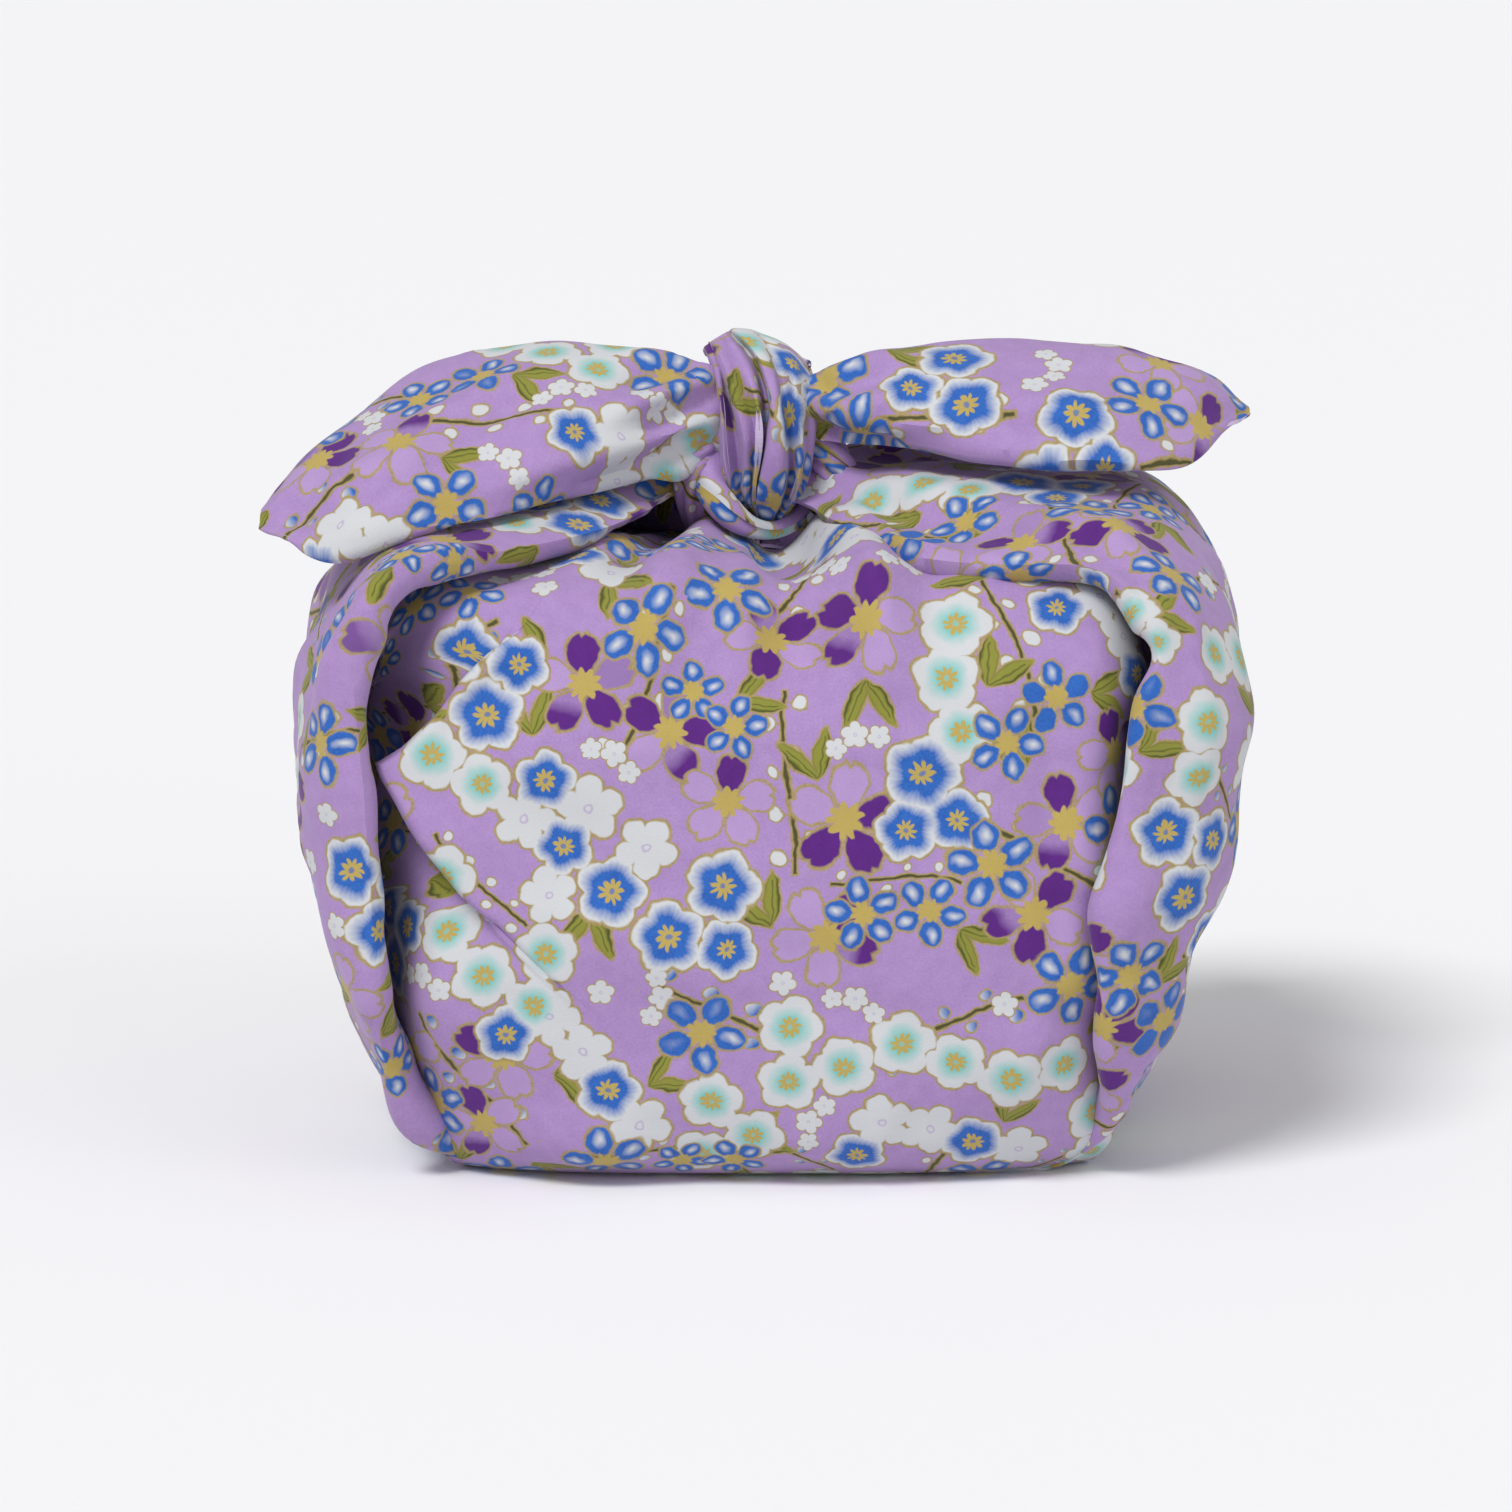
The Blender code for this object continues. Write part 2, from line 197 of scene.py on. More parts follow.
def in_photo(grid):
    """Where each point shows in the photograph, in its pixels."""
    lift = math.radians(CAMERA_ELEVATION)
    seen = grid - np.array(CAMERA_AIM)
    depth = CAMERA_DISTANCE + math.cos(lift) * seen[..., 1] - math.sin(lift) * seen[..., 2]
    height = math.sin(lift) * seen[..., 1] + math.cos(lift) * seen[..., 2]
    scale = PHOTO_PIXELS / FRAME_WIDTH * CAMERA_DISTANCE / depth
    return np.stack(
        [PHOTO_PIXELS / 2 + scale * seen[..., 0], PHOTO_PIXELS / 2 - scale * height],
        axis=-1,
    )


def from_photo(across, row, y):
    """The point in millimetres that shows at a pixel of the photograph, at a given y."""
    lift = math.radians(CAMERA_ELEVATION)
    up = np.zeros_like(np.asarray(row, float))
    for _ in range(4):
        depth = CAMERA_DISTANCE + math.cos(lift) * y - math.sin(lift) * up
        scale = PHOTO_PIXELS / FRAME_WIDTH * CAMERA_DISTANCE / depth
        up = ((PHOTO_PIXELS / 2 - row) / scale - math.sin(lift) * y) / math.cos(lift)
    return np.stack(
        [(across - PHOTO_PIXELS / 2) / scale, y + 0.0 * up, CAMERA_AIM[2] + up], axis=-1
    )


def distance_to_line(points, line):
    """The distance of each point to a bent line, and how far along it that is, 0 to 1."""
    best = np.full(points.shape[:-1], 1e9)
    place = np.zeros(points.shape[:-1])
    line = np.asarray(line, float)
    parts = len(line) - 1
    for index in range(parts):
        start, run = line[index], line[index + 1] - line[index]
        share = np.clip(((points - start) @ run) / max(run @ run, 1e-9), 0.0, 1.0)
        away = np.linalg.norm(points - start - share[..., None] * run, axis=-1)
        nearer = away < best
        best = np.where(nearer, away, best)
        place = np.where(nearer, (index + share) / parts, place)
    return best, place


# A crease starts at this share of its height and rises by this much along its line.
END_SHARE, END_RISE = 0.12, 4.0
# How a crease of the photograph fades where the cloth turns away from the camera.
FACING_EDGE, FACING_RISE = 0.2, 2.0


def creased(grid, outward, creases):
    """Moves a grid along its normals by ridges and troughs laid along bent lines.

    Each crease is (line, height, half width). A line of two numbers a point is in the
    photograph's pixels and marks only what faces the camera, and one of three is in
    millimetres in space."""
    for line, height, reach in creases:
        normals = normals_of(grid, outward)
        flat = len(line[0]) == 2
        points = in_photo(grid) if flat else grid
        away, place = distance_to_line(points, line)
        weight = np.exp(-((away / reach) ** 2)) * np.minimum(
            1.0, END_RISE * np.minimum(place, 1.0 - place) + END_SHARE
        )
        if flat:
            weight = weight * step(FACING_EDGE - FACING_RISE * normals[..., 1])
        grid = grid + (height * weight)[..., None] * normals
    return grid


# Slack cotton's small waves: how many, how long, and what their sum is divided by.
WAVES, WAVE_LENGTHS, WAVES_TOGETHER = 26, (9.0, 42.0), 2.6
# Its short creases: how much cloth each has to itself, how long, how bent and how wide
# they are, and how high beside the waves.
CREASE_AREA, CREASE_RUNS, CREASE_BEND = 420.0, (8.0, 26.0), 0.5
CREASE_REACHES, CREASE_HEIGHTS = (1.2, 2.6), (-0.55, 0.75)


def uneven(grid, outward, seed, height, calm=None):
    """Small waves, as slack cotton has: long soft ones and a few short creases."""
    rng = np.random.default_rng(seed)
    place = cloth_place(grid, (0.0, 0.0))
    rise = np.zeros(place.shape[:2])
    for _ in range(WAVES):
        length = rng.uniform(*WAVE_LENGTHS)
        angle = rng.uniform(0.0, math.tau)
        wave = place @ (np.array([math.cos(angle), math.sin(angle)]) * math.tau / length)
        rise += (length / WAVE_LENGTHS[1]) * np.sin(wave + rng.uniform(0.0, math.tau))
    rise *= height / WAVES_TOGETHER
    low, high = place.min(axis=(0, 1)), place.max(axis=(0, 1))
    area = float(np.prod(high - low))
    for _ in range(int(area / CREASE_AREA)):
        start = rng.uniform(low, high)
        angle = rng.uniform(0.0, math.tau)
        run = rng.uniform(*CREASE_RUNS)
        bend = rng.uniform(-CREASE_BEND, CREASE_BEND)
        line = [
            start,
            start + 0.5 * run * np.array([math.cos(angle), math.sin(angle)]),
            start + run * np.array([math.cos(angle + bend), math.sin(angle + bend)]),
        ]
        away, along = distance_to_line(place, line)
        fade = 4.0 * along * (1.0 - along)
        rise += rng.uniform(*CREASE_HEIGHTS) * height * fade * np.exp(
            -((away / rng.uniform(*CREASE_REACHES)) ** 2)
        )
    if calm is not None:
        rise = rise * calm
    return grid + rise[..., None] * normals_of(grid, outward)


# ---------------------------------------------------------------- the print's chart

# The print repeats over this much cloth. Each flower is a kind, a place, a turn in
# degrees, a scale and a variant from 0 to 1 that picks its colouring.
REPEAT = (190.0, 210.0)
REACH = {"sakura": 8.4, "small": 5.6, "plum": 5.2, "leaf": 4.6, "twig": 15.0}
# How many flowers of one kind may lie over each other. Each such layer is painted apart.
LAYERS = {"twig": 2, "leaf": 1, "sakura": 2, "plum": 3, "small": 2}
PLAIN, BLUE, AQUA = 0.15, 0.5, 0.85
# Blossoms and twigs take one of this many variants, so that each is a whole number.
VARIANTS = 31.0

GROUPS = {
    "sakura_trail": (
        ("sakura", -12.0, 6.5, 20.0, 1.0), ("sakura", 1.5, -1.0, 75.0, 0.98),
        ("sakura", 10.5, -12.0, 10.0, 0.92), ("leaf", 15.5, 5.0, 20.0, 1.0),
        ("leaf", -21.0, 13.0, 150.0, 0.95),
    ),
    "sakura_pair": (
        ("sakura", -7.2, 0.0, 40.0, 0.95), ("sakura", 7.0, 1.0, 5.0, 1.02),
        ("leaf", 7.5, -12.0, -85.0, 1.05),
    ),
    "sakura_column": (
        ("sakura", 1.0, 9.0, 12.0, 1.12), ("sakura", -2.0, -9.5, 50.0, 1.04),
        ("leaf", -12.5, -4.0, 120.0, 1.1),
    ),
    "blue_trio": (
        ("small", -8.0, 6.0, 0.0, 1.25), ("small", 1.5, -1.5, 30.0, 0.88),
        ("small", 9.0, -5.5, 15.0, 0.92), ("leaf", 16.5, -3.0, -10.0, 1.0),
    ),
    "blue_group": (
        ("small", -4.8, 5.0, 8.0, 1.08), ("small", 5.2, 1.8, 40.0, 1.04),
        ("small", -1.2, -6.4, 22.0, 1.0), ("leaf", 10.5, -6.0, -60.0, 1.0),
    ),
    "blue_one": (("small", 0.0, 0.0, 30.0, 1.28),),
    "white_patch": (
        ("blue", -6.0, 9.4, 10.0, 0.96), ("blue", -3.2, -1.2, 40.0, 0.94),
        ("blue", 4.2, -8.4, 0.0, 1.1), ("plain", 0.8, 4.8, 20.0, 1.06),
        ("plain", 9.8, -1.4, 55.0, 0.98), ("plain", -9.4, 3.2, 0.0, 0.95),
        ("plain", -5.6, -9.0, 30.0, 0.9), ("leaf", 0.5, -15.0, -100.0, 1.1),
    ),
    "white_trail": (
        ("plain", -9.0, 5.0, 12.0, 1.0), ("plain", -2.0, 1.0, 45.0, 0.95),
        ("blue", 4.0, -3.8, 20.0, 1.02), ("plain", 10.8, -7.8, 0.0, 1.0),
        ("blue", -14.5, -0.5, 30.0, 0.95), ("leaf", 12.0, 2.0, 50.0, 0.9),
    ),
    "plum_trio": (
        ("blue", 3.8, 5.4, 0.0, 1.16), ("blue", -4.8, -2.6, 25.0, 1.14),
        ("blue", 4.4, -4.6, 50.0, 0.95),
    ),
    "plum_column": (
        ("aqua", 1.4, 17.5, 0.0, 1.12), ("aqua", -0.2, 8.4, 20.0, 1.06),
        ("aqua", 2.2, 0.0, 40.0, 1.0), ("blue", -4.0, -6.6, 0.0, 1.2),
        ("blue", -6.4, -15.6, 30.0, 0.98), ("blue", 1.6, -14.0, 10.0, 1.0),
    ),
    "aqua_trio": (
        ("aqua", -3.6, 5.2, 0.0, 1.02), ("aqua", 5.0, -1.6, 35.0, 1.0),
        ("aqua", -3.8, -4.2, 15.0, 0.98),
    ),
    "aqua_pair": (("aqua", -3.8, 2.4, 0.0, 1.04), ("aqua", 4.0, -2.2, 30.0, 0.96)),
    "leaf_one": (("leaf", 0.0, 0.0, 0.0, 1.05),),
    "twig_one": (("twig", 0.0, 0.0, 0.0, 1.0),),
    "twig_short": (("twig", 0.0, 0.0, 0.0, 0.72),),
    "buds": (("plain", -3.4, 0.6, 0.0, 0.36), ("plain", 0.2, -0.6, 40.0, 0.42),
             ("plain", 3.6, 0.8, 20.0, 0.34)),
    "bud": (("plain", 0.0, 0.0, 0.0, 0.42),),
}
# Groups laid one by one where the front of the bag shows them: group, place, turn.
CHART = (
    ("sakura_trail", -15.0, 77.0, 0.0),
    ("blue_trio", -11.0, 84.0, -12.0),
    ("sakura_pair", 10.0, 92.0, 0.0),
    ("white_patch", -27.0, 59.0, 0.0),
    ("aqua_pair", -47.0, 70.0, 0.0),
    ("plum_trio", -9.0, 46.0, 0.0),
    ("sakura_column", 13.0, 53.0, 0.0),
    ("blue_group", 23.0, 44.0, 20.0),
    ("plum_column", 30.0, 76.0, 0.0),
    ("blue_one", 37.0, 55.0, 0.0),
    ("blue_group", 46.0, 76.0, 60.0),
    ("sakura_trail", 48.0, 60.0, 100.0),
    ("white_trail", -26.0, 22.0, -20.0),
    ("aqua_trio", 9.0, 23.0, 0.0),
    ("sakura_pair", -42.0, 16.0, 70.0),
    ("aqua_trio", -37.0, 37.0, 60.0),
    ("white_trail", 30.0, 9.0, 15.0),
    ("aqua_pair", 45.0, 20.0, 40.0),
    ("plum_trio", -43.0, 84.0, 70.0),
    ("blue_group", -50.0, 98.0, 10.0),
    ("leaf_one", -31.0, 96.0, -80.0),
    ("twig_one", 5.0, 68.0, 85.0),
    ("twig_one", 40.0, 92.0, 100.0),
    ("twig_one", -4.0, 30.0, -40.0),
    ("twig_one", 29.0, 28.0, 15.0),
    ("twig_short", -44.0, 52.0, -55.0),
    ("leaf_one", 36.0, 38.0, -95.0),
    ("blue_trio", -14.0, 3.0, 30.0),
    ("aqua_trio", -6.0, 10.0, 120.0),
)
# Groups that fill the rest of the repeat, one of each in turn while there is room.
FILLING = (
    "sakura_trail", "white_patch", "blue_group", "sakura_pair", "plum_trio",
    "twig_one", "sakura_column", "aqua_trio", "blue_trio", "white_trail",
    "sakura_pair", "plum_column", "blue_one", "sakura_column", "twig_one",
    "aqua_pair", "blue_group", "plum_trio",
)
GAP_FILLING = (
    "blue_one", "leaf_one", "twig_short", "aqua_pair", "buds", "leaf_one", "twig_one", "bud",
)
FILLING_TRIES, FILLING_ROUNDS, GAP_ROUNDS = 420, 9, 20
# How near two motifs of unlike groups may come, as a share of their reaches added.
NEAREST = {"flower": 0.88, "small on sakura": 0.64, "leaf": 0.6, "twig": 0.24}
# Room between two motifs of one layer, in millimetres.
LAYER_GAP = 1.0
# The settled draws: where the filling groups lie, and which variants the motifs take.
FILLING_SEED, VARIANT_SEED = 11, 5


def placed(group, x, y, turn):
    """A group's motifs as rows: kind, x, y, turn, scale, variant or None."""
    cos, sin = math.cos(math.radians(turn)), math.sin(math.radians(turn))
    found = []
    for kind, dx, dy, own_turn, scale in GROUPS[group]:
        variant = {"plain": PLAIN, "blue": BLUE, "aqua": AQUA}.get(kind)
        found.append(
            (
                kind if variant is None else "plum",
                x + cos * dx - sin * dy,
                y + sin * dx + cos * dy,
                turn + own_turn,
                scale,
                variant,
            )
        )
    return found


KINDS = tuple(REACH)


def share_table():
    """How near each kind may come to each other kind, as a share of their reaches."""
    table = np.full((len(KINDS), len(KINDS)), NEAREST["flower"])
    for row, kind in enumerate(KINDS):
        for column, other in enumerate(KINDS):
            kinds = {kind, other}
            if "twig" in kinds and len(kinds) > 1:
                table[row, column] = NEAREST["twig"]
            elif kinds == {"small", "sakura"}:
                table[row, column] = NEAREST["small on sakura"]
            elif "leaf" in kinds:
                table[row, column] = NEAREST["leaf"]
    return table


def as_numbers(motifs):
    """Kind number, x, y and reach of each motif."""
    return np.array(
        [(KINDS.index(m[0]), m[1], m[2], REACH[m[0]] * m[4]) for m in motifs], float
    ).reshape(-1, 4)


def wrapped_gaps(first, second):
    """The shortest ways between two sets of motifs on the repeating cloth."""
    half = np.array(REPEAT) / 2.0
    away = first[:, None, 1:3] - second[None, :, 1:3]
    return np.linalg.norm((away + half) % REPEAT - half, axis=2)


def chart_motifs(seed):
    """All motifs of one repeat: the charted groups, then others that fill the cloth."""
    rng = np.random.default_rng(seed)
    motifs = [m for group, x, y, turn in CHART for m in placed(group, x, y, turn)]
    known = as_numbers(motifs)
    shares = share_table()
    for kinds, rounds in ((FILLING, FILLING_ROUNDS), (GAP_FILLING, GAP_ROUNDS)):
        for kind in kinds * rounds:
            for _ in range(FILLING_TRIES):
                x, y = rng.uniform((0.0, 0.0), REPEAT)
                group = placed(kind, x, y, rng.uniform(0.0, 360.0))
                new = as_numbers(group)
                share = shares[new[:, 0].astype(int)][:, known[:, 0].astype(int)]
                wanted = share * (new[:, None, 3] + known[None, :, 3])
                if (wrapped_gaps(new, known) >= wanted).all():
                    motifs += group
                    known = np.concatenate([known, new])
                    break
    return motifs


def in_layers(motifs, seed):
    """The motifs by layer, so that no two of one layer come near each other."""
    rng = np.random.default_rng(seed)
    layers = {f"{kind}_{n}": [] for kind in LAYERS for n in range(LAYERS[kind])}
    for motif in motifs:
        kind = motif[0]
        variant = motif[5]
        if variant is None:
            variant = round(rng.uniform(0.0, 1.0) * VARIANTS) / VARIANTS
        for number in range(LAYERS[kind]):
            layer = layers[f"{kind}_{number}"]
            new, known = as_numbers([motif]), as_numbers(layer)
            if (wrapped_gaps(new, known) > new[:, 3:] + known[None, :, 3] + LAYER_GAP).all():
                layer.append((*motif[:5], variant))
                break
    return layers


# The side of one cell of the map that says which motif is nearest, and how far past its
# reach a motif is still the nearest one.
CELL = 0.5
PAST_REACH = 3.0


def nearest_map(layer, kind):
    """A map of one repeat that gives the number of the nearest motif, or -1."""
    shape = (int(REPEAT[0] / CELL), int(REPEAT[1] / CELL))
    best = np.full(shape, PAST_REACH)
    found = np.full(shape, -1)
    for number, (_, x, y, _, scale, _) in enumerate(layer):
        reach = REACH[kind] * scale
        half = int((reach + PAST_REACH) / CELL) + 1
        steps = np.arange(-half, half + 1)
        columns, rows = steps + int(x / CELL), steps + int(y / CELL)
        dx, dy = (columns + 0.5) * CELL - x, (rows + 0.5) * CELL - y
        away = np.hypot(dx[:, None], dy[None, :]) - reach
        part = np.ix_(columns % shape[0], rows % shape[1])
        nearer = away < best[part]
        best[part] = np.where(nearer, away, best[part])
        found[part] = np.where(nearer, number, found[part])
    return found


def layer_coordinates(corners, layer, found):
    """Each face corner's place in its nearest motif's own frame, and the variant."""
    repeat = np.array(REPEAT)
    middle = corners.mean(axis=1)
    cells = np.floor((middle % repeat) / CELL).astype(int)
    cells = np.minimum(cells, np.array(found.shape) - 1)
    nearest = found[cells[:, 0], cells[:, 1]]
    rows = np.array([motif[1:] for motif in layer], float)
    chosen = rows[nearest]
    shift = np.round((middle - chosen[:, :2]) / repeat) * repeat
    offset = corners - (chosen[:, :2] + shift)[:, None, :]
    turn = np.radians(chosen[:, 2])
    cos, sin = np.cos(turn)[:, None], np.sin(turn)[:, None]
    scale = chosen[:, 3][:, None]
    values = np.stack(
        [
            (cos * offset[..., 0] + sin * offset[..., 1]) / scale,
            (-sin * offset[..., 0] + cos * offset[..., 1]) / scale,
            np.repeat(chosen[:, 4][:, None], corners.shape[1], axis=1),
        ],
        axis=2,
    )
    values[nearest < 0] = NO_MOTIF
    return values


# ---------------------------------------------------------------- sheets

SHEET_THICKNESS = 0.55
# Folds sharper than this keep their edge in the shading.
SHARP_ANGLE = 55.0
# What a face corner gets in a layer that has no motif near it.
NO_MOTIF = (60.0, 60.0, 0.0)


def thin_shell(grid, outward, place, thickness):
    """One sheet of cloth from a grid: points, quads, flat places and which are inside."""
    normals = normals_of(grid, outward)
    rows, columns = grid.shape[:2]
    points = np.concatenate([grid, grid - thickness * normals]).reshape(-1, 3)
    index = np.arange(rows * columns).reshape(rows, columns)
    quads = np.stack(
        [index[:-1, :-1], index[:-1, 1:], index[1:, 1:], index[1:, :-1]], axis=2
    ).reshape(-1, 4)
    a, b, c = (points[quads[:, k]] for k in (0, 1, 2))
    facing = np.einsum(
        "ij,ij->i", np.cross(b - a, c - b), normals.reshape(-1, 3)[quads[:, 0]]
    )
    if facing.sum() < 0.0:
        quads = quads[:, ::-1]
    inside = quads[:, ::-1] + rows * columns
    edges = np.concatenate([quads[:, [k, (k + 1) % 4]] for k in range(4)])
    keys = np.sort(edges, axis=1)
    _, first, count = np.unique(keys, axis=0, return_index=True, return_counts=True)
    rim = edges[first[count == 1]]
    rims = np.stack(
        [rim[:, 1], rim[:, 0], rim[:, 0] + rows * columns, rim[:, 1] + rows * columns],
        axis=1,
    )
    faces = np.concatenate([quads, inside, rims])
    flat = np.tile(place.reshape(-1, 2), (2, 1))
    reverse = np.repeat([0.0, 1.0], rows * columns)
    return points, faces, flat, reverse


def cloth_object(name, shell, layers):
    """A mesh object of one sheet, with the attributes that the print reads."""
    points, faces, flats, sides = shell
    points = points * MM
    mesh = bpy.data.meshes.new(name)
    mesh.vertices.add(len(points))
    mesh.vertices.foreach_set("co", points.astype(np.float32).ravel())
    mesh.loops.add(faces.size)
    mesh.loops.foreach_set("vertex_index", faces.astype(np.int32).ravel())
    mesh.polygons.add(len(faces))
    mesh.polygons.foreach_set("loop_start", np.arange(0, faces.size, 4, dtype=np.int32))
    mesh.update(calc_edges=True)
    if mesh.validate():
        raise RuntimeError(f"{name} has faces that aren't sound")
    mesh.shade_smooth()
    mesh.set_sharp_from_angle(angle=math.radians(SHARP_ANGLE))
    corners = flats[faces]
    for layer, (motifs, found) in layers.items():
        values = layer_coordinates(corners, motifs, found)
        made = mesh.attributes.new(layer, "FLOAT_VECTOR", "CORNER")
        made.data.foreach_set("vector", values.astype(np.float32).ravel())
    made = mesh.attributes.new("cloth_place", "FLOAT_VECTOR", "POINT")
    made.data.foreach_set(
        "vector", np.column_stack([flats, sides]).astype(np.float32).ravel()
    )
    obj = bpy.data.objects.new(name, mesh)
    bpy.context.scene.collection.objects.link(obj)
    return obj


def finish_piece(obj):
    """Gives a piece its material and its body, and hides the imported cloth solid."""
    obj.data.materials.append(bpy.data.materials[COTTON])
    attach(obj, "root")
    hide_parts("cloth")


# ---------------------------------------------------------------- front and back panels

# Path of the front panel from under the load up the front and over the top:
# y, z, left edge, right edge, how far the edges turn in, and the left turn's width.
FRONT_STATIONS = (
    (10.0, 0.0, -46.0, 52.0, 0.0, 6.0),
    (-15.0, 0.0, -46.0, 52.0, 0.0, 6.0),
    (-34.0, 0.0, -46.5, 53.0, 0.0, 6.0),
    (-42.0, 0.8, -49.0, 55.0, 0.0, 7.0),
    (-48.6, 5.0, -53.0, 57.4, 0.1, 8.0),
    (-53.0, 13.0, -57.0, 58.4, 0.4, 9.0),
    (-56.2, 26.0, -60.0, 58.4, 0.85, 10.0),
    (-57.8, 40.0, -61.4, 58.4, 1.0, 12.0),
    (-58.4, 54.0, -62.2, 58.8, 1.0, 14.0),
    (-58.0, 68.0, -62.8, 60.0, 1.0, 16.0),
    (-56.6, 80.0, -62.6, 61.5, 1.0, 20.0),
    (-53.6, 90.0, -61.6, 61.5, 0.95, 20.0),
    (-47.6, 97.2, -59.5, 60.5, 0.6, 15.0),
    (-38.0, 100.0, -57.0, 58.0, 0.2, 9.0),
    (-24.0, 100.4, -50.0, 52.0, 0.0, 6.0),
    (-8.0, 99.8, -42.0, 44.0, 0.0, 6.0),
    (10.0, 98.6, -33.0, 36.0, 0.0, 6.0),
    (24.0, 97.8, -26.0, 30.0, 0.0, 6.0),
)
# How deep the edges turn in beside the wings, and how wide the right one's turn is.
TURN_DEPTH, RIGHT_TURN_RUN = 15.0, 9.0
# The pointed fold in the front: height, x of its edge, how far the cloth doubles back
# under it, and how deep the lower layer lies.
POINTED_FOLD = (
    (26.0, -24.0, 0.0, 0.0),
    (35.0, -33.4, 0.0, 0.5),
    (41.0, -39.6, 0.0, 1.8),
    (44.0, -42.4, 0.0, 2.6),
    (52.0, -48.8, 6.5, 4.4),
    (60.0, -54.4, 9.0, 5.4),
    (68.0, -59.6, 10.0, 6.0),
    (70.6, -60.8, 10.0, 6.2),
    (73.0, -56.6, 9.0, 6.0),
    (80.0, -50.0, 7.0, 5.0),
    (87.0, -43.6, 3.0, 2.8),
    (92.0, -39.0, 0.0, 0.8),
    (97.0, -35.5, 0.0, 0.0),
)
# Ridges and troughs on the front: line, height, half width. The first ones are the
# waves below the knot.
FRONT_CREASES = (
    (((-4.0, 20.0, 98.0), (-9.0, -20.0, 100.0), (-15.0, -50.0, 96.0),
     (-18.0, -60.0, 80.0)), 3.4, 5.0),
    (((8.0, 20.0, 98.0), (14.0, -18.0, 100.0), (19.0, -46.0, 97.0), (22.0, -60.0, 80.0)), 4.8, 5.0),
    (((2.0, 10.0, 99.0), (4.5, -30.0, 100.0), (6.0, -52.0, 92.0), (6.0, -58.0, 76.0)), -4.6, 5.6),
    (((-1.0, 0.0, 99.0), (-2.5, -34.0, 100.0), (-2.0, -54.0, 90.0)), 1.4, 2.4),
    (((-12.0, 8.0, 99.0), (-20.0, -34.0, 100.0), (-23.0, -54.0, 90.0)), -1.6, 3.6),
    (((-15.0, 8.0, 99.0), (-27.0, -38.0, 100.0), (-34.0, -54.0, 90.0)), 1.5, 3.6),
    (((-18.0, 8.0, 99.0), (-38.0, -38.0, 100.0), (-48.0, -50.0, 92.0)), -1.0, 4.0),
    (((24.0, 8.0, 99.0), (27.0, -38.0, 100.0), (29.0, -54.0, 90.0)), -1.6, 3.6),
    (((520, 626), (460, 690), (400, 765)), 0.9, 12.0),
    (((560, 640), (500, 720), (440, 800)), -0.5, 22.0),
    (((395, 775), (440, 850), (520, 960)), 0.6, 10.0),
    (((470, 930), (520, 1040), (540, 1130)), -0.9, 22.0),
    (((600, 880), (560, 1000), (500, 1120)), 0.6, 26.0),
    (((1000, 640), (985, 780), (1000, 930)), 0.8, 28.0),
    (((1050, 700), (1045, 860), (1065, 1010)), -0.9, 16.0),
    (((960, 600), (1010, 700), (1090, 760)), 0.6, 14.0),
    (((1075, 920), (1040, 1040), (1000, 1120)), 0.9, 18.0),
    (((780, 640), (800, 800), (780, 1000)), 0.5, 40.0),
    (((700, 620), (690, 760), (720, 900)), -0.4, 34.0),
    (((880, 1000), (900, 1100), (860, 1170)), 0.6, 20.0),
)
BACK_STATIONS = (
    (-10.0, 0.0, -46.0, 52.0, 0.0, 9.0),
    (15.0, 0.0, -46.0, 52.0, 0.0, 9.0),
    (34.0, 0.0, -46.5, 53.0, 0.0, 9.0),
    (42.0, 0.8, -49.0, 55.0, 0.0, 9.0),
    (48.6, 5.0, -53.0, 57.0, 0.1, 9.0),
    (53.0, 13.0, -57.0, 58.5, 0.4, 9.0),
    (56.2, 26.0, -59.6, 60.0, 0.85, 9.0),
    (57.6, 40.0, -60.6, 61.0, 1.0, 9.0),
    (57.8, 54.0, -61.2, 61.5, 1.0, 9.0),
    (57.2, 68.0, -61.4, 62.0, 1.0, 9.0),
    (55.6, 79.0, -61.2, 61.6, 1.0, 9.0),
    (52.0, 87.6, -60.6, 60.5, 0.9, 9.0),
    (46.0, 93.2, -58.5, 60.0, 0.55, 9.0),
    (36.0, 95.4, -56.0, 58.0, 0.2, 9.0),
    (22.0, 96.4, -50.0, 52.0, 0.0, 9.0),
    (6.0, 97.0, -42.0, 44.0, 0.0, 9.0),
    (-8.0, 97.0, -33.0, 36.0, 0.0, 9.0),
)
BACK_CREASES = (
    (((-30.0, 50.0, 94.0), (-22.0, 58.0, 60.0), (-34.0, 56.0, 24.0)), 1.6, 6.0),
    (((34.0, 50.0, 94.0), (26.0, 58.0, 60.0), (36.0, 56.0, 20.0)), -1.4, 6.0),
    (((8.0, 40.0, 96.0), (4.0, 57.0, 70.0)), 1.6, 4.5),
    (((-12.0, 30.0, 97.0), (-16.0, 50.0, 92.0)), 2.6, 4.0),
    (((16.0, 30.0, 97.0), (20.0, 50.0, 92.0)), 2.2, 4.0),
)


# Where the load's middle is in height, which tells a panel's inner side.
LOAD_MIDDLE_Z = 50.0
# The fold starts in front of this y. Above FOLD_TOP_Z its edge runs on from FOLD_TOP_X.
FOLD_START_Y, FOLD_TOP_Z, FOLD_TOP_X = -30.0, 96.0, -36.5
# Where a row without a fold has its join.
PLAIN_JOIN_X = -30.0
# How far the foot's corners stand back from its middle, FOOT_HALF away. The rounding
# fades out over FOOT_HEIGHT above FOOT_LOW, and under the load over FOOT_REACH.
FOOT_ROUNDING, FOOT_MIDDLE, FOOT_HALF = 9.0, 1.0, 54.0
FOOT_LOW, FOOT_HEIGHT, FOOT_REACH = 4.0, 40.0, 30.0
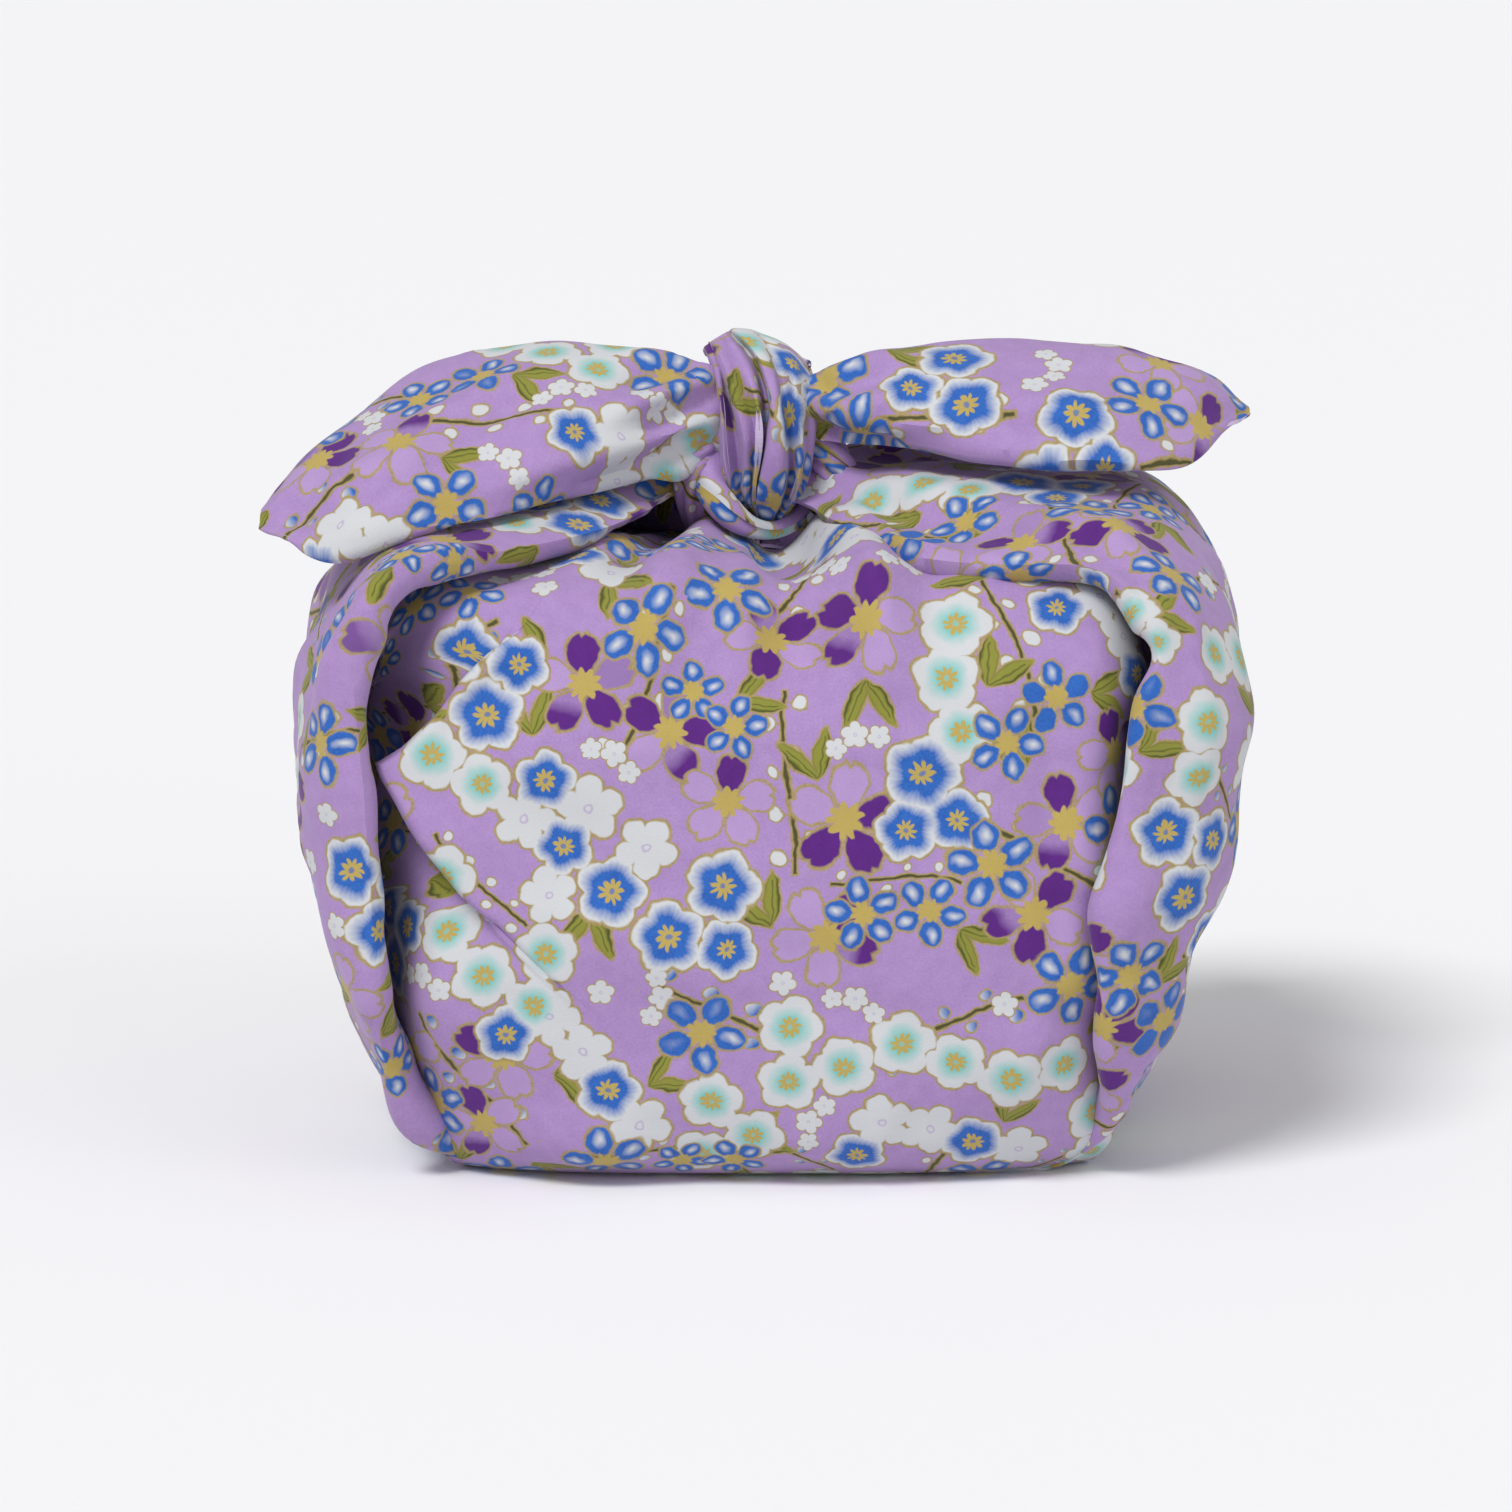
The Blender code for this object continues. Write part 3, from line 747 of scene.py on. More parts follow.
# Points across the panel's lower layer, its doubled fold, the fold's lip and the right
# turn, and the width of the flat middle that the spacing is counted over.
LOWER_POINTS, DOUBLED_POINTS, LIP_POINTS, TURN_POINTS = 34, 10, 6, 12
MIDDLE_WIDTH = 108.0
# How wide the step to the fold's lip is, how much wider where the fold doubles back by
# less than FULL_FOLD, and how deep the lip lies, as a share of the lower layer's depth.
LIP_WIDTH, LIP_EXTRA, FULL_FOLD, LIP_SHARE = 0.4, 2.2, 5.0, 0.55


def turned_edge(across, run):
    """The depth of an edge that turns in like a quarter of an oval, run wide."""
    share = np.clip(1.0 - across / run, 0.0, 1.0)
    return 1.0 - np.sqrt(1.0 - share**2)


def panel_profile(left, right, turned, left_run, fold_x, fold_over, fold_depth, spacing):
    """One row across a panel, as x and depth: the turned left edge, the lower layer,
    the doubled fold, the flat middle and the turned right edge."""
    depth = TURN_DEPTH * turned
    hidden = fold_x + fold_over
    reach = max(hidden - left, 1.0)
    lower_x = left + reach * np.linspace(0.0, 1.0, LOWER_POINTS) ** 1.7
    slope = np.clip(1.0 - (lower_x - left) / left_run, 0.0, 1.0) ** 1.6
    lower_depth = depth * (0.5 * turned_edge(lower_x - left, left_run) + slope) + fold_depth
    doubled = np.linspace(0.0, 1.0, DOUBLED_POINTS)[1:]
    soft = LIP_WIDTH + LIP_EXTRA * (1.0 - float(step(fold_over / FULL_FOLD)))
    doubled_x = lower_x[-1] + (fold_x - lower_x[-1]) * doubled + soft * doubled
    lip_level = LIP_SHARE * fold_depth
    doubled_depth = lip_level + (lower_depth[-1] - lip_level) * (1.0 - step(doubled * 1.6))
    lip = np.linspace(0.0, 1.0, LIP_POINTS)[1:]
    lip_x = fold_x + soft + 1.6 * lip**1.5
    lip_depth = lip_level * (1.0 - lip) ** 1.6
    count = int(MIDDLE_WIDTH / spacing)
    wall = np.linspace(0.0, 0.5 * math.pi, TURN_POINTS)[1:]
    end = right - RIGHT_TURN_RUN
    middle_x = np.linspace(lip_x[-1], end, count)[1:]
    right_x = end + RIGHT_TURN_RUN * np.sin(wall)
    right_depth = depth * (1.0 - np.cos(wall))
    row_x = np.concatenate([lower_x, doubled_x, lip_x, middle_x, right_x])
    row_depth = np.concatenate(
        [lower_depth, doubled_depth, lip_depth, np.zeros(count - 1), right_depth]
    )
    return row_x, row_depth


def panel_grid(stations, folds, spacing):
    """A panel's surface, from its stations and its pointed fold."""
    stations = even_path(stations, spacing)
    path = stations[:, :2]
    along = np.gradient(path, axis=0)
    along /= np.linalg.norm(along, axis=1, keepdims=True)
    inward = np.column_stack([-along[:, 1], along[:, 0]])
    middle = len(path) // 2
    if inward[middle] @ (np.array([0.0, LOAD_MIDDLE_Z]) - path[middle]) < 0.0:
        inward = -inward
    grid = []
    for (y, z, left, right, turned, left_run), into in zip(stations, inward):
        if folds is None or y > FOLD_START_Y:
            fold_x, over, deep = PLAIN_JOIN_X, 0.0, 0.0
        else:
            table = np.array(folds)
            fold_x, over, deep = (np.interp(z, table[:, 0], table[:, k]) for k in (1, 2, 3))
            if z > FOLD_TOP_Z:
                fold_x = FOLD_TOP_X + (z - FOLD_TOP_Z)
        turned = min(max(turned, 0.0), 1.0)
        row_x, depth = panel_profile(
            left, right, turned, left_run, fold_x, over, deep, spacing
        )
        foot = FOOT_ROUNDING * (1.0 - float(step((z - FOOT_LOW) / FOOT_HEIGHT)))
        foot = np.sign(-y) * foot * (np.abs(row_x - FOOT_MIDDLE) / FOOT_HALF) ** 4
        row_y = y + depth * into[0] + foot * min(1.0, abs(y) / FOOT_REACH)
        grid.append(np.column_stack([row_x, row_y, np.maximum(z + depth * into[1], 0.0)]))
    return np.array(grid)


def even_path(stations, spacing):
    """Stations on a smooth path, evenly spaced along it."""
    fine = through(stations, 600)
    run = np.concatenate(
        [[0.0], np.cumsum(np.linalg.norm(np.diff(fine[:, :2], axis=0), axis=1))]
    )
    wanted = np.linspace(0.0, run[-1], int(run[-1] / spacing) + 1)
    return np.column_stack([np.interp(wanted, run, column) for column in fine.T])


def panel_place(grid, shift):
    """A panel's flat places: x as on the panel's flat middle, and along its path."""
    level = grid.shape[1] * 3 // 4
    over = np.linalg.norm(np.diff(grid, axis=1), axis=2)
    across = np.concatenate([np.zeros((len(grid), 1)), np.cumsum(over, axis=1)], axis=1)
    across += (grid[:, level, 0] - across[:, level])[:, None]
    run = np.linalg.norm(np.diff(grid[:, level, 1:], axis=0), axis=1)
    along = np.concatenate([[0.0], np.cumsum(run)])
    front = int(np.argmin(np.abs(grid[:, level, 2] - LOAD_MIDDLE_Z)))
    along += LOAD_MIDDLE_Z - along[front]
    return np.stack([across + shift[0], along[:, None] + shift[1] + 0.0 * across], axis=2)


# ---------------------------------------------------------------- wings and fans

# Each row of a wing, from the knot over the shoulder and down the side: the crown (x, z)
# over the middle, then the front corner (x, y, z) and the front edge (x, y, z).
LEFT_WING = (
    ((-3.0, 112.0), (-4.0, -2.0, 110.5), (-5.0, -4.0, 107.5)),
    ((-11.0, 113.6), (-11.5, -6.0, 111.6), (-12.5, -9.0, 107.0)),
    ((-22.0, 113.8), (-20.0, -14.0, 111.0), (-18.6, -22.0, 105.4)),
    ((-36.0, 112.4), (-32.0, -23.0, 109.0), (-26.5, -34.5, 103.9)),
    ((-49.0, 109.4), (-44.0, -32.0, 106.4), (-40.5, -46.0, 102.4)),
    ((-60.0, 104.0), (-54.0, -42.0, 103.6), (-50.0, -52.5, 102.8)),
    ((-68.0, 97.0), (-61.5, -50.0, 98.6), (-57.6, -57.2, 99.8)),
    ((-73.0, 87.0), (-67.0, -54.0, 89.0), (-61.4, -60.6, 93.2)),
    ((-75.2, 75.0), (-69.6, -56.0, 77.5), (-61.9, -62.2, 82.0)),
    ((-75.2, 61.0), (-69.4, -56.2, 64.0), (-60.8, -62.4, 69.5)),
    ((-73.2, 46.0), (-67.6, -55.4, 49.0), (-59.9, -61.6, 52.0)),
    ((-70.0, 31.0), (-64.6, -53.0, 34.0), (-59.2, -59.4, 35.0)),
    ((-64.8, 16.0), (-59.8, -45.0, 18.0), (-58.2, -51.4, 20.0)),
    ((-57.6, 4.4), (-53.7, -38.0, 5.8), (-52.6, -42.6, 7.2)),
    ((-48.0, 0.8), (-46.0, -34.0, 0.8), (-45.0, -37.0, 0.8)),
    ((-24.0, 0.8), (-24.0, -36.0, 0.8), (-24.0, -40.0, 0.8)),
    ((0.0, 0.8), (0.0, -36.0, 0.8), (0.0, -40.0, 0.8)),
)
RIGHT_WING = (
    ((3.0, 112.0), (4.0, -5.0, 110.0), (5.0, -9.0, 106.6)),
    ((12.0, 113.8), (11.6, -10.0, 110.8), (9.8, -16.0, 105.2)),
    ((24.0, 114.4), (18.5, -17.0, 109.4), (14.2, -24.5, 103.9)),
    ((38.0, 113.6), (29.0, -25.0, 108.2), (19.0, -33.5, 102.0)),
    ((50.0, 112.4), (40.0, -32.0, 107.4), (26.5, -41.5, 100.4)),
    ((60.0, 110.4), (51.0, -38.5, 106.6), (38.5, -47.0, 100.4)),
    ((69.0, 106.4), (60.2, -44.5, 104.0), (52.6, -53.6, 100.9)),
    ((75.4, 99.4), (67.2, -50.0, 98.2), (58.8, -58.0, 96.6)),
    ((79.0, 90.0), (71.2, -53.0, 90.4), (61.6, -60.8, 91.4)),
    ((80.6, 78.0), (73.2, -54.6, 79.6), (59.6, -62.4, 82.0)),
    ((80.0, 65.0), (72.8, -55.6, 67.6), (56.8, -62.5, 69.0)),
    ((77.4, 51.0), (70.6, -55.4, 52.6), (54.4, -61.8, 52.0)),
    ((73.8, 36.0), (67.2, -53.6, 37.0), (53.6, -60.0, 36.0)),
    ((69.0, 21.0), (63.0, -46.6, 21.6), (55.4, -52.6, 20.4)),
    ((63.0, 8.0), (58.6, -40.6, 9.0), (56.0, -45.0, 9.4)),
    ((53.0, 0.8), (50.0, -34.0, 0.8), (49.0, -38.0, 0.8)),
    ((26.0, 0.8), (26.0, -36.0, 0.8), (26.0, -40.0, 0.8)),
    ((0.0, 0.8), (0.0, -36.0, 0.8), (0.0, -40.0, 0.8)),
)
# The edge turns under: how far into the bag, and how far back below the wing.
EDGE_TURN = ((5.4, 4.2), (3.8, 1.5), (1.8, 0.1))
WING_CREASES = {
    "left_wing": (
        (((352, 600), (344, 720), (352, 860), (368, 990)), -0.9, 6.0),
        (((330, 590), (322, 700), (330, 820)), 0.7, 8.0),
        (((346, 900), (368, 1010), (400, 1090)), 0.8, 7.0),
        (((-8.0, -8.0, 112.0), (-30.0, -20.0, 110.0), (-58.0, -36.0, 103.0)), -1.8, 3.6),
        (((-8.0, -2.0, 113.0), (-36.0, -6.0, 112.0), (-68.0, -14.0, 98.0)), 1.9, 4.2),
        (((-8.0, 4.0, 113.0), (-36.0, 8.0, 112.0), (-66.0, 18.0, 98.0)), -1.8, 4.0),
        (((-8.0, 8.0, 112.0), (-32.0, 20.0, 110.0), (-58.0, 38.0, 102.0)), 1.8, 4.0),
        (((-74.0, -20.0, 88.0), (-75.0, -26.0, 60.0), (-70.0, -30.0, 30.0)), 1.2, 5.0),
        (((-74.0, 16.0, 90.0), (-75.0, 22.0, 60.0), (-68.0, 16.0, 24.0)), -1.4, 5.0),
        (((-70.0, -4.0, 96.0), (-75.0, -2.0, 70.0), (-72.0, 2.0, 40.0)), 1.0, 6.0),
        (((-66.0, -34.0, 96.0), (-73.0, -40.0, 74.0), (-70.0, -44.0, 44.0)), -0.9, 5.0),
    ),
    "right_wing": (
        (((1150, 650), (1168, 760), (1160, 900), (1150, 1040)), -1.1, 8.0),
        (((1190, 560), (1206, 700), (1196, 860)), 0.9, 9.0),
        (((1125, 760), (1128, 900), (1130, 1050)), 0.8, 8.0),
        (((850, 500), (900, 545), (960, 562)), 1.8, 8.0),
        (((830, 490), (920, 520), (1060, 545)), -1.2, 12.0),
        (((830, 470), (960, 500), (1110, 530), (1180, 600)), 1.2, 14.0),
        (((1060, 520), (1130, 560), (1160, 640)), -1.0, 10.0),
        (((8.0, -2.0, 113.0), (40.0, -6.0, 113.0), (74.0, -12.0, 101.0)), -1.6, 4.2),
        (((8.0, 4.0, 113.0), (38.0, 9.0, 113.0), (74.0, 20.0, 100.0)), 1.8, 4.0),
        (((8.0, 8.0, 112.0), (34.0, 22.0, 111.0), (62.0, 40.0, 104.0)), -1.8, 4.0),
        (((80.0, -20.0, 88.0), (80.0, -26.0, 60.0), (72.0, -28.0, 30.0)), -1.2, 5.0),
        (((80.0, 14.0, 90.0), (80.0, 22.0, 60.0), (70.0, 18.0, 26.0)), 1.4, 5.0),
        (((76.0, -6.0, 98.0), (80.0, -2.0, 70.0), (76.0, 4.0, 40.0)), -1.1, 6.0),
        (((70.0, -36.0, 98.0), (77.0, -42.0, 74.0), (74.0, -44.0, 44.0)), 0.9, 5.0),
    ),
}
# The back edge mirrors the front one, a little further in or out row by row.
BACK_EDGE_SHIFT = (0.0, 0.5, 1.0, 1.5, 1.0, 0.0, -1.0, -0.8, 0.0, 0.5)
# How much lower the back edge lies near the knot, row by row.
BACK_EDGE_DROP = (8.0, 8.0, 8.0, 7.0, 5.0, 2.5, 1.0)
# Rows whose edge is lower than LYING_Z lie under the load. Their edge turns under by
# this share only, and the others bulge this much between edge and corner.
LYING_Z, LYING_TURN, EDGE_BULGE = 3.0, 0.2, 1.5
# How far towards the crown the shoulder lies, outwards and upwards.
SHOULDER_OUT, SHOULDER_UP = 0.72, 0.8
# A row's shift of the back edge fades within this much of y = 0.
SHIFT_REACH = 40.0
# The lowest that a wing may lie: just over the panels' cloth under the load.
LOWEST = 0.62


def unit(vectors):
    """The same directions, 1 long."""
    return vectors / np.maximum(np.linalg.norm(vectors, axis=-1, keepdims=True), 1e-6)


def wing_grid(rows, side, spacing):
    """A wing's surface: from the front edge over the crown to the back edge."""
    corners, edges = (np.array([row[k] for row in rows], float) for k in (1, 2))
    run = unit(np.gradient(edges, axis=0))
    over = corners - edges
    over = unit(over - (over * run).sum(axis=1, keepdims=True) * run)
    into = np.cross(run, over)
    into *= np.sign((into * (np.array([0.0, 0.0, 60.0]) - edges)).sum(axis=1))[:, None]
    control = []
    for number, ((crown_x, crown_z), _, _) in enumerate(rows):
        corner, edge = corners[number], edges[number]
        shift = BACK_EDGE_SHIFT[number % len(BACK_EDGE_SHIFT)]
        low = edge[2] < LYING_Z
        share = LYING_TURN if low else 1.0
        turned = [
            edge + share * (deep * into[number] + under * over[number])
            for deep, under in EDGE_TURN
        ]
        outer = corner - edge
        bulge = unit(np.array([side * abs(outer[1]), -abs(outer[0]), 0.0]))
        between = 0.5 * (corner + edge) + (0.0 if low else EDGE_BULGE) * bulge
        crown = np.array([crown_x, 0.0, crown_z])
        shoulder = 0.5 * (corner + crown)
        shoulder[2] = corner[2] + (crown_z - corner[2]) * SHOULDER_UP
        shoulder[0] = corner[0] + (crown_x - corner[0]) * SHOULDER_OUT
        front = [*turned, edge, between, corner, shoulder]
        back = []
        for point in reversed(front):
            mirrored = point * np.array([1.0, -1.0, 1.0])
            mirrored[1] += shift * min(1.0, abs(point[1]) / SHIFT_REACH)
            if number < len(BACK_EDGE_DROP):
                outer_share = min(1.0, (crown_z - point[2]) / (crown_z - edge[2]))
                mirrored[2] -= BACK_EDGE_DROP[number] * outer_share
            back.append(mirrored)
        control.append([*front, crown, *back])
    grid = dense(control, spacing)
    grid[..., 2] = np.maximum(grid[..., 2], LOWEST)
    return even_rows(grid, spacing)


# ---------------------------------------------------------------- the two ends

# Each row of an end, from the knot to the tip: x, then y and z of the front edge, of
# the fullest part of the front, of the ridge and of the back edge.
LEFT_END = (
    (-3.0, (-7.0, 113.0), (-10.0, 120.0), (-3.0, 125.5), (6.0, 116.0)),
    (-9.0, (-12.0, 111.6), (-15.5, 119.6), (-5.0, 128.0), (7.0, 118.0)),
    (-17.0, (-18.0, 111.2), (-20.5, 119.4), (-5.0, 131.0), (8.0, 120.0)),
    (-25.0, (-24.5, 110.2), (-25.0, 119.0), (-5.0, 132.0), (9.0, 121.4)),
    (-33.0, (-30.0, 109.0), (-29.0, 118.2), (-5.0, 132.0), (9.5, 122.0)),
    (-42.0, (-37.0, 106.2), (-33.0, 116.4), (-5.5, 130.6), (9.0, 121.6)),
    (-50.5, (-41.0, 105.0), (-36.0, 114.6), (-6.5, 128.2), (8.0, 120.6)),
    (-58.5, (-43.0, 103.4), (-37.5, 112.6), (-9.0, 124.8), (5.0, 118.4)),
    (-65.5, (-42.4, 101.2), (-37.5, 109.8), (-12.5, 120.8), (0.0, 115.6)),
    (-71.5, (-39.6, 101.8), (-35.0, 107.8), (-17.0, 116.0), (-7.0, 112.0)),
    (-76.0, (-36.0, 103.6), (-32.4, 106.2), (-23.0, 110.6), (-15.0, 108.6)),
    (-79.8, (-31.4, 104.6), (-30.2, 105.3), (-27.4, 106.8), (-24.0, 106.0)),
)
RIGHT_END = (
    (4.0, (-7.0, 116.0), (-9.0, 121.0), (-3.0, 124.0), (5.0, 117.0)),
    (10.0, (-10.6, 117.6), (-13.0, 122.6), (-4.0, 126.6), (6.0, 119.0)),
    (18.0, (-15.2, 116.8), (-17.0, 122.4), (-4.0, 130.4), (8.0, 121.0)),
    (27.0, (-20.0, 115.6), (-20.5, 121.8), (-4.0, 131.6), (9.5, 122.8)),
    (36.0, (-24.4, 114.4), (-22.6, 121.4), (-4.0, 132.0), (10.5, 123.4)),
    (45.0, (-27.0, 114.0), (-23.6, 121.4), (-4.0, 132.0), (11.0, 123.6)),
    (54.0, (-27.6, 114.2), (-23.6, 121.4), (-4.0, 131.6), (11.0, 123.2)),
    (62.0, (-26.6, 113.4), (-22.0, 121.0), (-4.0, 130.6), (9.6, 122.6)),
    (69.5, (-23.0, 113.6), (-18.6, 120.4), (-4.0, 127.8), (6.6, 121.6)),
    (75.5, (-15.4, 117.0), (-12.6, 120.4), (-3.4, 124.4), (3.0, 120.8)),
    (79.0, (-9.0, 118.8), (-7.6, 120.2), (-3.0, 122.0), (0.4, 120.6)),
    (81.4, (-4.4, 119.8), (-3.8, 120.2), (-2.6, 120.9), (-1.4, 120.4)),
)
END_CREASES = {
    "left_end": (
        (((722, 372), (684, 388), (645, 404), (600, 420)), 2.4, 12.0),
        (((720, 362), (672, 372), (604, 384)), -1.8, 12.0),
        (((720, 392), (684, 408), (640, 432)), -1.6, 10.0),
        (((720, 350), (680, 352), (620, 352)), 1.0, 9.0),
        (((718, 420), (650, 440), (560, 462), (470, 500)), 1.6, 11.0),
        (((716, 436), (640, 470), (560, 492)), -1.8, 8.0),
        (((716, 452), (660, 486), (600, 512)), 1.2, 9.0),
        (((600, 352), (520, 372), (420, 420), (330, 480)), 1.1, 12.0),
        (((560, 396), (500, 408), (420, 452)), -0.8, 10.0),
        (((520, 440), (430, 470), (340, 520)), -1.0, 9.0),
        (((300, 500), (360, 470), (440, 450)), 0.9, 8.0),
        (((276, 528), (330, 508), (390, 500)), -0.7, 6.0),
        (((300, 540), (380, 530), (470, 520)), 0.7, 5.0),
        (((-14.0, -2.0, 128.0), (-30.0, 2.0, 128.0), (-48.0, 2.0, 125.0)), -1.6, 3.4),
    ),
    "right_end": (
        (((806, 402), (850, 410), (905, 398)), 2.0, 11.0),
        (((806, 388), (846, 388), (905, 366)), -1.6, 10.0),
        (((806, 372), (856, 366), (910, 352)), 1.0, 9.0),
        (((806, 424), (860, 436), (905, 446)), -1.8, 9.0),
        (((806, 436), (850, 450), (900, 458)), 1.4, 9.0),
        (((830, 414), (890, 424), (960, 430)), 1.1, 7.0),
        (((930, 360), (1010, 400), (1110, 420), (1200, 410)), 1.1, 13.0),
        (((920, 400), (1000, 424), (1100, 446)), -0.9, 9.0),
        (((1030, 360), (1110, 378), (1200, 396)), -0.7, 9.0),
        (((960, 446), (1050, 456), (1150, 462)), 0.8, 6.0),
        (((14.0, 0.0, 128.0), (34.0, 3.0, 130.0), (56.0, 3.0, 129.0)), -1.4, 3.4),
    ),
}


# How the lines of an end between those of its rows are shifted, as x, y and z: the hem
# and the lip of its turned edge, then the lines halfway, which make it full. Near the
# tip, where the end is lower than FULL_HEIGHT, the shifts shrink.
HEM_SHIFT, LIP_SHIFT, LOW_SHIFT, HIGH_SHIFT, BEHIND_SHIFT = np.array(
    ((0.0, 1.7, -0.5), (0.0, 3.8, 0.6), (0.0, -0.9, 0.0), (0.0, -1.6, 1.8), (0.0, 2.4, 1.6))
)
FULL_HEIGHT = 16.0


def end_grid(rows, spacing):
    """One end of the cloth: a turned lower edge, its full front, the ridge and the back."""
    control = []
    for x, front, full, ridge, back in rows:
        front, full, ridge, back = (np.array([x, *part]) for part in (front, full, ridge, back))
        scale = min(1.0, np.linalg.norm(front - ridge) / FULL_HEIGHT)
        hem = front + HEM_SHIFT * scale
        lip = front + LIP_SHIFT * scale
        low = 0.5 * (front + full) + LOW_SHIFT * scale
        high = 0.5 * (full + ridge) + HIGH_SHIFT * scale
        behind = 0.5 * (ridge + back) + BEHIND_SHIFT * scale
        control.append([lip, hem, front, low, full, high, ridge, behind, back])
    return even_rows(dense(control, spacing), spacing)


# ---------------------------------------------------------------- the knot

# The band over the knot's front, in the photograph's pixels. Each line runs from the
# band's top down its front, and its first number is how far it stands out, in mm: folds
# stand out and the creases between them lie deep.
BAND_LINES = (
    (-7.0, (710, 350), (720, 374), (724, 405), (725, 437), (727, 466), (736, 490),
     (753, 506), (756, 533)),
    (-3.2, (705, 348), (714, 374), (717, 405), (717, 437), (719, 466), (729, 492),
     (750, 510), (754, 533)),
    (-0.6, (708, 345), (718, 374), (723, 406), (725, 438), (728, 468), (735, 494),
     (752, 511), (756, 533)),
    (-3.0, (712, 342), (721, 372), (728, 406), (735, 440), (738, 468), (742, 496),
     (754, 512), (757, 533)),
    (0.0, (714, 340), (728, 372), (738, 406), (745, 440), (747, 468), (748, 497),
     (756, 513), (758, 533)),
    (-1.4, (719, 337), (735, 371), (749, 406), (755, 436), (753, 467), (752, 497),
     (758, 514), (760, 533)),
    (0.2, (724, 334), (746, 370), (757, 405), (759, 436), (757, 467), (754, 498),
     (759, 514), (761, 533)),
    (-3.4, (729, 332), (757, 368), (766, 405), (763, 434), (759, 466), (755, 498),
     (760, 515), (762, 533)),
    (0.8, (738, 329), (763, 366), (771, 404), (770, 436), (767, 468), (762, 500),
     (764, 517), (764, 533)),
    (0.8, (748, 330), (771, 367), (779, 404), (781, 436), (780, 468), (774, 500),
     (769, 518), (768, 533)),
    (-2.6, (762, 335), (780, 369), (786, 402), (790, 434), (791, 466), (785, 498),
     (774, 518), (772, 533)),
    (0.0, (778, 341), (793, 371), (797, 402), (802, 434), (801, 466), (792, 499),
     (779, 518), (776, 533)),
    (-2.2, (792, 349), (803, 375), (808, 404), (808, 434), (806, 464), (797, 497),
     (782, 518), (778, 533)),
    (-2.6, (805, 360), (812, 384), (816, 410), (815, 438), (811, 470), (802, 497),
     (786, 517), (781, 533)),
    (-7.0, (800, 362), (806, 386), (809, 410), (808, 438), (804, 470), (796, 496),
     (782, 514), (778, 533)),
)
# How far forward the band's folds lie at each of those places, and how deep its creases.
BAND_FRONT = (-1.0, -12.0, -16.2, -17.6, -17.0, -15.0, -11.0, 1.0)
BAND_DEEP = (0.5, 1.0, 1.25, 1.3, 1.25, 1.0, 0.5, 0.1)
# How far the band's edges stand back from its middle, how much of a half oval that is,
# and the y about which the back mirrors the front, twice over.
BAND_CROWN, BAND_OVAL, BAND_MIRROR = 3.4, 0.92, -4.0
# Rolled strands of the knot: a line of points, each the photograph's pixel, y and
# radius, then how many pleats the strand has and their depth as a share of its radius.
STRANDS = (
    (
        "knot_core",
        ((672, 420, -3.0, 7.5), (712, 424, -4.0, 8.5), (756, 424, -3.0, 10.0),
         (800, 420, -3.0, 8.0), (836, 414, -3.0, 6.5)),
        7, 0.12,
    ),
    (
        "knot_lower_turn",
        ((712, 440, -7.0, 2.6), (711, 470, -11.0, 3.0), (716, 496, -13.6, 3.2),
         (731, 516, -14.4, 2.9), (750, 528, -13.6, 2.2), (770, 531, -11.6, 1.7),
         (792, 522, -8.0, 1.7), (806, 502, -4.0, 2.2), (812, 476, 0.0, 2.6)),
        3, 0.12,
    ),
    (
        "knot_left_neck",
        ((706, 412, -4.0, 2.6), (700, 436, -9.0, 3.2), (694, 462, -10.6, 3.3),
         (692, 488, -9.6, 3.2), (696, 510, -6.0, 3.0), (706, 528, 0.0, 2.8)),
        6, 0.2,
    ),
    (
        "knot_right_neck",
        ((806, 430, -4.0, 3.0), (820, 446, -7.0, 3.4), (833, 466, -7.6, 3.6),
         (836, 490, -5.4, 3.6), (828, 510, -1.0, 3.4), (812, 524, 4.0, 3.0)),
        6, 0.2,
    ),
    (
        "knot_under",
        ((684, 486, 3.0, 4.2), (716, 498, 1.0, 5.0), (758, 504, 0.0, 5.4),
         (800, 498, 1.0, 5.0), (836, 484, 3.0, 4.2)),
        6, 0.16,
    ),
    (
        "knot_hidden_end",
        ((716, 548, 3.0, 1.6), (742, 552, 0.0, 2.0), (764, 548, -3.0, 2.3),
         (786, 539, -5.0, 2.4), (802, 526, -6.0, 2.2), (813, 512, -6.4, 1.2)),
        4, 0.14,
    ),
)


def band_grid(spacing):
    """The pleated band over the knot's top and front, and the like down its back."""
    front = []
    for place, (forward, deep) in enumerate(zip(BAND_FRONT, BAND_DEEP)):
        row = [(line[0], *line[1 + place]) for line in BAND_LINES]
        out, across, level = np.array(row, float).T
        edge_share = np.linspace(-1.0, 1.0, len(row))
        crown = BAND_CROWN * (1.0 - np.sqrt(1.0 - BAND_OVAL * edge_share**2))
        front.append(from_photo(across, level, forward + crown - deep * out))
    front = np.array(front)
    top = front[0].copy()
    back = front[1:].copy()
    back[..., 1] = BAND_MIRROR - back[..., 1]
    control = np.concatenate([back[::-1], top[None], front[1:]])
    return even_rows(dense(control, spacing), spacing)


# Points round a strand, how far its pleats turn along it, and the way its seam faces.
STRAND_POINTS, STRAND_TWIST, STRAND_UP = 40, 0.9, (0.0, 0.3, 1.0)


